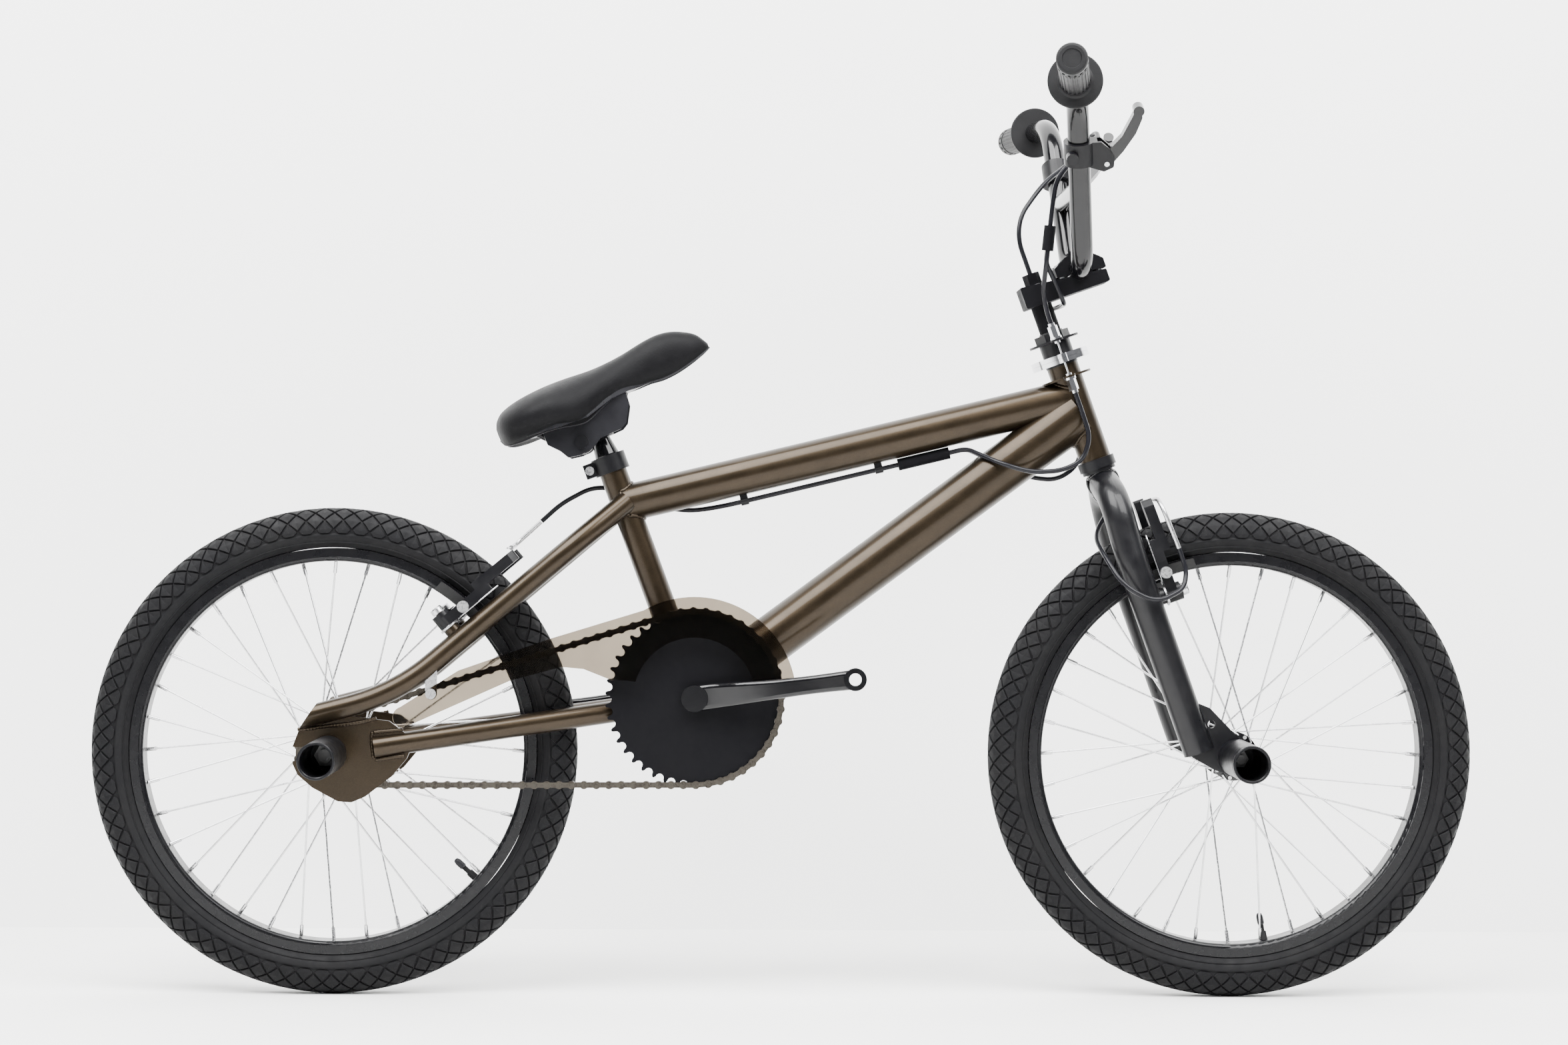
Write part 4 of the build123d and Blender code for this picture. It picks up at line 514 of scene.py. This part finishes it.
def casing_profile():
    """(angle round the casing in degrees, radius of the casing there) from bead to bead."""
    profile = []
    for number in range(-70, 71):
        angle = number * 2.0
        sunk = TREAD_DEPTH if abs(angle) < 97 else TREAD_DEPTH * max(0.35, (103 - abs(angle)) / 6)
        profile.append((angle, TYRE_SECTION - sunk))
    return profile


def tyre_point(hub, turn, angle, section):
    middle = TYRE_RADIUS - TYRE_SECTION
    radius = middle + section * math.cos(angle)
    across = section * math.sin(angle)
    return hub + Vector((radius * math.cos(turn), across, radius * math.sin(turn))) * MM


def add_block(vertices, faces, hub, turn, middle, pitch):
    """One diamond block with sloping flanks, curved with the casing and cut off at the tread's edge."""
    corners = ((1, 0), (0, 1), (-1, 0), (0, -1))
    outline = []
    for corner in range(4):
        here, after = corners[corner], corners[(corner + 1) % 4]
        for step in range(BLOCK_SIDES):
            share = step / BLOCK_SIDES
            outline.append((here[0] + (after[0] - here[0]) * share, here[1] + (after[1] - here[1]) * share))
    base = len(vertices)
    layers = ((TYRE_SECTION - TREAD_DEPTH - 0.2, 0.92), (TYRE_SECTION - 0.45, 0.86),
              (TYRE_SECTION - 0.05, 0.80))
    for section, size in layers:
        for along, across in outline:
            angle = middle + across * size * ROW_SPACING
            angle = max(-TREAD_EDGE, min(TREAD_EDGE, angle))
            vertices.append(tyre_point(hub, turn + along * size * pitch / 2, math.radians(angle), section))
    count = len(outline)
    for layer in range(len(layers) - 1):
        for number in range(count):
            after = (number + 1) % count
            low = base + layer * count
            faces.append((low + number, low + count + number, low + count + after, low + after))
    top = base + (len(layers) - 1) * count
    centre = len(vertices)
    clipped = max(-TREAD_EDGE + 6, min(TREAD_EDGE - 6, middle))
    vertices.append(tyre_point(hub, turn, math.radians(clipped), TYRE_SECTION))
    for number in range(count):
        faces.append((top + (number + 1) % count, top + number, centre))


def add_tyre(name, hub, body, node):
    """A casing with rows of diamond blocks set half a block on from one row to the next."""
    segments = 180
    vertices = []
    profile = casing_profile()
    for number in range(segments):
        turn = 2 * math.pi * number / segments
        for angle, section in profile:
            vertices.append(tyre_point(hub, turn, math.radians(angle), section))
    faces = grid_faces(segments, len(profile), True, True)
    pitch = 2 * math.pi / BLOCKS_ROUND
    for row in range(ROWS):
        middle = (row - (ROWS - 1) / 2) * ROW_SPACING
        shift = 0.5 * (row % 2)
        for number in range(BLOCKS_ROUND):
            turn = (number + shift) * pitch
            add_block(vertices, faces, hub, turn, middle, pitch)
    tyre = add_mesh(name, vertices, faces, RUBBER, smooth=False)
    casing_faces = segments * len(profile)
    for polygon in tyre.data.polygons:
        polygon.use_smooth = polygon.index < casing_faces
    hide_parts(node)
    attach(tyre, body)
    for side in (1, -1):
        ridge = []
        for number in range(segments):
            turn = 2 * math.pi * number / segments
            ridge.append(tyre_point(hub, turn, side * math.radians(RIDGE_ANGLE), TYRE_SECTION - 0.5))
        line = tube_along(name + "_line_%s" % ("left" if side > 0 else "right"), ridge, 0.7, RUBBER,
                          6, closed=True)
        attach(line, body)


def add_valve(name, hub, body, degrees):
    """A rubber-stemmed valve with its black cap, standing inward from the rim."""
    turn = math.radians(degrees)
    inward = -Vector((math.cos(turn), 0, math.sin(turn)))
    start = hub - inward * (RIM_RADIUS + 1.0) * MM
    stem = turned_piece(name + "_stem", start, inward, [(0, 4.0), (9, 3.9), (10, 2.6), (20, 2.6)],
                        RUBBER, 24)
    cap = turned_piece(name + "_cap", start + inward * 17 * MM, inward,
                       [(0, 3.3), (1.5, 3.7), (8, 3.6), (11, 2.6), (12, 1.0)], DARK_PLASTIC, 24,
                       lambda along, angle: -0.25 * (math.cos(9 * angle) > 0))
    for made in (stem, cap):
        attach(made, body)


# ---------------------------------------------------------------- grips
GRIP_END = Vector((261.8, 345.0, 925.0))
GRIP_ALONG = Vector((-25.7, 202.0, 7.0)).normalized()
GRIP_LENGTH = 130.0
RIBS = 22


def grip_ripple(along, angle):
    """Ribs run along the sleeve; the end collar carries a ring of small raised blocks."""
    if 12 < along < 106:
        return -0.9 if math.cos(RIBS * angle) < -0.1 else 0.0
    if 113 < along < 121:
        return 0.0 if math.cos(16 * angle) > -0.3 else -0.9
    return 0.0


def add_grips():
    profile = [(0.0, 11.3), (0.0, 26.4), (0.6, 27.2), (3.4, 27.2), (4.2, 26.2), (4.6, 18.0), (6.0, 15.6),
               (12.0, 15.0), (12.1, 15.1), (40.0, 14.9), (75.0, 14.9), (105.9, 15.1), (106.1, 14.3),
               (110.0, 14.3), (110.5, 15.2), (113.0, 15.2), (113.1, 15.2), (120.9, 15.2),
               (121.1, 15.2), (127.5, 15.2), (129.4, 14.2), (129.9, 12.4), (129.9, 9.5), (128.9, 8.8),
               (128.9, 0.5)]
    for name, mirror in (("grip_left", 1), ("grip_right", -1)):
        along = Vector((GRIP_ALONG.x, GRIP_ALONG.y * mirror, GRIP_ALONG.z))
        end = Vector((GRIP_END.x, GRIP_END.y * mirror, GRIP_END.z)) * MM
        grip = turned_piece(name, end - along * GRIP_LENGTH * MM, along, profile, GRIP, 132, grip_ripple)
        for polygon in grip.data.polygons:
            polygon.use_smooth = False
        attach(grip, "steering")
    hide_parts("grips")


# ---------------------------------------------------------------- saddle
# each a list of (distance along, value) in mm, in the saddle's own frame
SADDLE_HALF = ((1, 20), (4, 33), (10, 47), (20, 58), (34, 65.5), (52, 68.5), (66, 68), (84, 62), (100, 53),
               (116, 43.5), (132, 35), (148, 29), (165, 25), (185, 22.5), (205, 20.5), (218, 17.5),
               (228, 12.5), (234, 7.5), (237, 2.5))
SADDLE_CROWN = ((1, 1), (4, 7), (13, 14.2), (34, 19.8), (62, 22.4), (85, 22.4), (111, 21.1), (130, 21.8),
                (150, 24.1), (174, 28.4), (190, 29.7), (204, 27.8), (217, 22.5), (229, 14.3), (237, 1.5))
SADDLE_LOW = ((1, -14), (5, -20.7), (20, -23.8), (39, -23.9), (53, -24.5), (68, -26.3), (78, -28.6),
              (91, -29.8), (105, -24.5), (120, -17.5), (136, -14.3), (153, -14.8), (166, -14.7),
              (180, -16.2), (196, -15), (212, -11.5), (228, -6.5), (237, -2.5))
RING_POINTS = 72


def eased(table, along):
    """Reads a curve through a table's points at a distance along."""
    last = len(table) - 2
    place = 0
    while place < last and along > table[place + 1][0]:
        place += 1
    (x0, y0), (x1, y1) = table[place], table[place + 1]
    before = table[max(place - 1, 0)]
    after = table[min(place + 2, last + 1)]
    span = x1 - x0
    share = min(1.0, max(0.0, (along - x0) / span))
    slope0 = (y1 - before[1]) / (x1 - before[0]) * span
    slope1 = (after[1] - y0) / (after[0] - x0) * span
    a = 2 * share**3 - 3 * share**2 + 1
    b = share**3 - 2 * share**2 + share
    c = -2 * share**3 + 3 * share**2
    d = share**3 - share**2
    return a * y0 + b * slope0 + c * y1 + d * slope1


def saddle_ring(along):
    """Points round one cross-section: over the crown, down the sides and in under the lip."""
    half = eased(SADDLE_HALF, along)
    crown = eased(SADDLE_CROWN, along)
    low = eased(SADDLE_LOW, along)
    shoulder = low + 0.40 * (crown - low)
    ring = []
    for number in range(RING_POINTS):
        angle = 2 * math.pi * number / RING_POINTS
        sine, cosine = math.sin(angle), math.cos(angle)
        if sine >= 0:
            across = half * math.copysign(abs(cosine) ** 0.80, cosine)
            high = shoulder + (crown - shoulder) * sine ** 0.92
            groove = 1.3 * math.exp(-(across / 7.0) ** 2) * math.exp(-((along - 70) / 55.0) ** 2)
            high -= groove
        else:
            depth = min(1.0, -sine * 1.25)
            across = half * math.copysign(abs(cosine) ** 0.45, cosine) * (1 - 0.10 * depth * depth)
            high = shoulder + (low - shoulder) * depth ** 0.9
            if -sine > 0.8:
                high = low + 4.5 * (-sine - 0.8) / 0.2
        ring.append(saddle_place(along, across, high))
    return ring


def add_saddle():
    """The padded cover as one crowned closed form, and the welt round its lower edge."""
    length = 236.5
    stations = [1 + (length - 1) * (0.5 - 0.5 * math.cos(math.pi * number / 95)) for number in range(96)]
    vertices = []
    for along in stations:
        vertices.extend(saddle_ring(along))
    faces = grid_faces(len(stations), RING_POINTS, False, True)
    faces.append(tuple(range(RING_POINTS)))
    last = (len(stations) - 1) * RING_POINTS
    faces.append(tuple(last + number for number in reversed(range(RING_POINTS))))
    cover = add_mesh("saddle_cover", vertices, faces, COVER)
    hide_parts("saddle_pad")
    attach(cover, "saddle")
    lip = 10
    welt = [saddle_ring(along)[RING_POINTS - lip] for along in stations]
    welt += [saddle_ring(along)[RING_POINTS // 2 + lip] for along in reversed(stations)]
    seam = tube_along("saddle_welt", welt, 0.8, DARK_PLASTIC, 8, closed=True)
    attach(seam, "saddle")


# ---------------------------------------------------------------- welds
def weld(name, start, direction, radius, other_point, other_direction, other_radius, surface, body,
         side=1, size=1.9):
    """A rippled bead where a tube (start, direction, radius) meets the outside of another tube."""
    direction = direction.normalized()
    other_direction = other_direction.normalized()
    u, w = frame_about(direction)
    points, radii = [], []
    count = 180
    for number in range(count):
        angle = 2 * math.pi * number / count
        point = start + (u * math.cos(angle) + w * math.sin(angle)) * radius * MM
        offset = point - other_point
        across = offset - other_direction * offset.dot(other_direction)
        slope = direction - other_direction * direction.dot(other_direction)
        a = slope.dot(slope)
        b = 2 * across.dot(slope)
        c = across.dot(across) - (other_radius * MM) ** 2
        inside = max(0.0, b * b - 4 * a * c)
        points.append(point + direction * (-b + side * math.sqrt(inside)) / (2 * a))
        radii.append(size * (0.86 + 0.22 * abs(math.sin(number * math.pi / 4))))
    bead = tube_along(name, points, radii, surface, 8, closed=True)
    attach(bead, body)


def add_dropout_welds():
    """Beads along the stays where they lie on the dropouts, outside and inside."""
    for mirror, word in ((1, "left"), (-1, "right")):
        face = 60.7 * mirror
        lines = {
            "stay_low": [(-31, 25), (-20, 26), (-6, 28), (8, 29.5), (22, 31), (36, 33.5), (50, 37)],
            "chain_stay_end": [(45, 23), (44, 18), (44.5, 8), (46, -2), (48, -5.5)],
            "chain_stay_top": [(46, 22.5), (56, 23.5), (66, 24.5), (77, 25.5)],
            "chain_stay_low": [(48, -5.5), (58, -4), (68, -2.5), (79, -1)]}
        for line, places in lines.items():
            points, radii = [], []
            for start, end in zip(places, places[1:]):
                steps = max(2, round(math.dist(start, end) / 1.1))
                for step in range(steps):
                    share = step / steps
                    points.append(REAR_HUB + Vector((start[0] + (end[0] - start[0]) * share, face,
                                                     start[1] + (end[1] - start[1]) * share)) * MM)
            for number in range(len(points)):
                radii.append(1.9 * (0.82 + 0.28 * abs(math.sin(number * math.pi / 3))))
            bead = tube_along("weld_%s_%s" % (line, word), points, radii, PAINT, 8)
            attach(bead, "frame")


def add_welds():
    head_high = steer(0, 0, HEAD_TOP - 35.5)
    head_low = steer(0, 0, HEAD_TOP - 52.0)
    weld("weld_top_head", STAY_JOINT, head_high - STAY_JOINT, TOP_TUBE_RADIUS, head_high,
         STEER_UP, HEAD_RADIUS, PAINT,
         "frame", -1)
    weld("weld_down_head", BRACKET, head_low - BRACKET, DOWN_TUBE_RADIUS, head_low,
         STEER_UP, HEAD_RADIUS, PAINT,
         "frame", -1)
    weld("weld_down_shell", BRACKET, head_low - BRACKET, DOWN_TUBE_RADIUS, BRACKET,
         Vector((0, 1, 0)), SHELL_RADIUS, PAINT,
         "frame", 1)
    weld("weld_seat_shell", BRACKET, SEAT_UP, SEAT_TUBE_RADIUS, BRACKET, Vector((0, 1, 0)),
         SHELL_RADIUS, PAINT,
         "frame", 1)
    weld("weld_top_seat", STAY_JOINT, head_high - STAY_JOINT, TOP_TUBE_RADIUS, STAY_JOINT,
         SEAT_UP, SEAT_TUBE_RADIUS, PAINT,
         "frame", 1)
    for mirror, word in ((1, "left"), (-1, "right")):
        stay_start = BRACKET + Vector((0, 16 * mirror, -3)) * MM
        stay_end = Vector((-401.5, 57.5 * mirror, 260.5)) * MM
        weld("weld_chain_stay_" + word, stay_start, stay_end - stay_start, STAY_RADIUS, BRACKET,
             Vector((0, 1, 0)), SHELL_RADIUS, PAINT, "frame", 1, 1.6)
        leg_top = steer(0, 6 * mirror, HEAD_BOTTOM - 27)
        leg_knee = steer(0, 48 * mirror, HEAD_BOTTOM - 45)
        weld("weld_crown_" + word, leg_top, leg_knee - leg_top, FORK_LEG_RADIUS,
             steer(0, 0, HEAD_BOTTOM - 30), STEER_UP, CROWN_RADIUS, GLOSS_BLACK,
             "steering", 1, 1.7)


# ---------------------------------------------------------------- brakes' small parts
FRONT_BRAKE_BASE = (10.9, 180.3)
REAR_BRAKE_BASE = Vector((-337.6, 0, 376.2)) * MM
REAR_BRAKE_UP = Vector((0.763048, 0, 0.646341))
REAR_BRAKE_OUT = Vector((-0.646341, 0, 0.763048))


def brake_point(front, up, across, out):
    """A place in one brake: mm up the arm, towards +Y, and out along the pivot."""
    if front:
        return steer(FRONT_BRAKE_BASE[0] + out, across, FRONT_BRAKE_BASE[1] + up)
    return REAR_BRAKE_BASE + (REAR_BRAKE_UP * up + Vector((0, across, 0)) + REAR_BRAKE_OUT * out) * MM


def add_brake_details():
    """Return springs behind the arms and round sockets in the pivot bolts."""
    for front, word in ((True, "front"), (False, "rear")):
        for mirror, side in ((1, "left"), (-1, "right")):
            body = "%s_arm_%s" % (word, side)
            spring = []
            for number in range(34):
                angle = number * math.pi / 4
                spring.append(brake_point(front, 10.4 * math.cos(angle), mirror * 43 + 10.4 * math.sin(angle),
                                          5.8 + number * 0.05))
            for share in range(1, 9):
                spring.append(brake_point(front, 9 + share * 7.0, mirror * (52.5 - share * 0.3), 6.9))
            wire = tube_along("spring_%s_%s" % (word, side), spring, 0.75, STEEL, 8)
            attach(wire, body)
            centre = brake_point(front, 0, mirror * 43, 29.0)
            outward = brake_point(front, 0, mirror * 43, 30.0) - centre
            ring = turned_piece("pivot_ring_%s_%s" % (word, side), centre, outward,
                                [(0, 6.4), (1.2, 6.1), (1.5, 5.2), (1.5, 3.2), (0.2, 3.0), (0.2, 0.4)],
                                STEEL, 36)
            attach(ring, body)


# ---------------------------------------------------------------- room
def add_room():
    """Pale floor, plain wall behind, and soft light from above."""
    floor = add_mesh("floor", [(-ROOM_HALF, -ROOM_HALF, 0), (ROOM_HALF, -ROOM_HALF, 0),
                               (ROOM_HALF, ROOM_HALF, 0), (-ROOM_HALF, ROOM_HALF, 0)], [(0, 1, 2, 3)],
                     room_surface("floor_grey", (0.80, 0.80, 0.79), 0.08))
    wall = add_mesh("wall", [(-ROOM_HALF, WALL_DISTANCE, 0), (ROOM_HALF, WALL_DISTANCE, 0),
                             (ROOM_HALF, WALL_DISTANCE, WALL_HEIGHT),
                             (-ROOM_HALF, WALL_DISTANCE, WALL_HEIGHT)],
                    [(0, 1, 2, 3)], room_surface("wall_white", (0.90, 0.90, 0.895), 0.03))
    world = bpy.data.worlds.new("room")
    world.use_nodes = True
    world.node_tree.nodes["Background"].inputs["Color"].default_value = (0.94, 0.96, 1.0, 1.0)
    world.node_tree.nodes["Background"].inputs["Strength"].default_value = 0.25
    bpy.context.scene.world = world
    for name, place, aim, size, power in (
            ("key", (-1.3, -1.5, 3.3), (-0.3, 0.4, 0.3), 2.6, 520.0),
            ("fill", (1.5, -1.7, 3.1), (0.4, 0.4, 0.4), 2.6, 420.0)):
        data = bpy.data.lights.new(name, "AREA")
        data.size = size
        data.energy = power
        light = bpy.data.objects.new(name, data)
        light.location = place
        light.rotation_mode = "QUATERNION"
        light.rotation_quaternion = (Vector(aim) - Vector(place)).to_track_quat("-Z", "Y")
        bpy.context.scene.collection.objects.link(light)


# ---------------------------------------------------------------- assembly
add_camera()
dress_cad()
add_tyre("front_tyre_tread", FRONT_HUB, "front_wheel", "front_tyre")
add_tyre("rear_tyre_tread", REAR_HUB, "rear_wheel", "rear_tyre")
add_valve("front_valve", FRONT_HUB, "front_wheel", -79.0)
add_valve("rear_valve", REAR_HUB, "rear_wheel", -42.0)
add_grips()
add_saddle()
add_welds()
add_dropout_welds()
add_brake_details()
add_room()
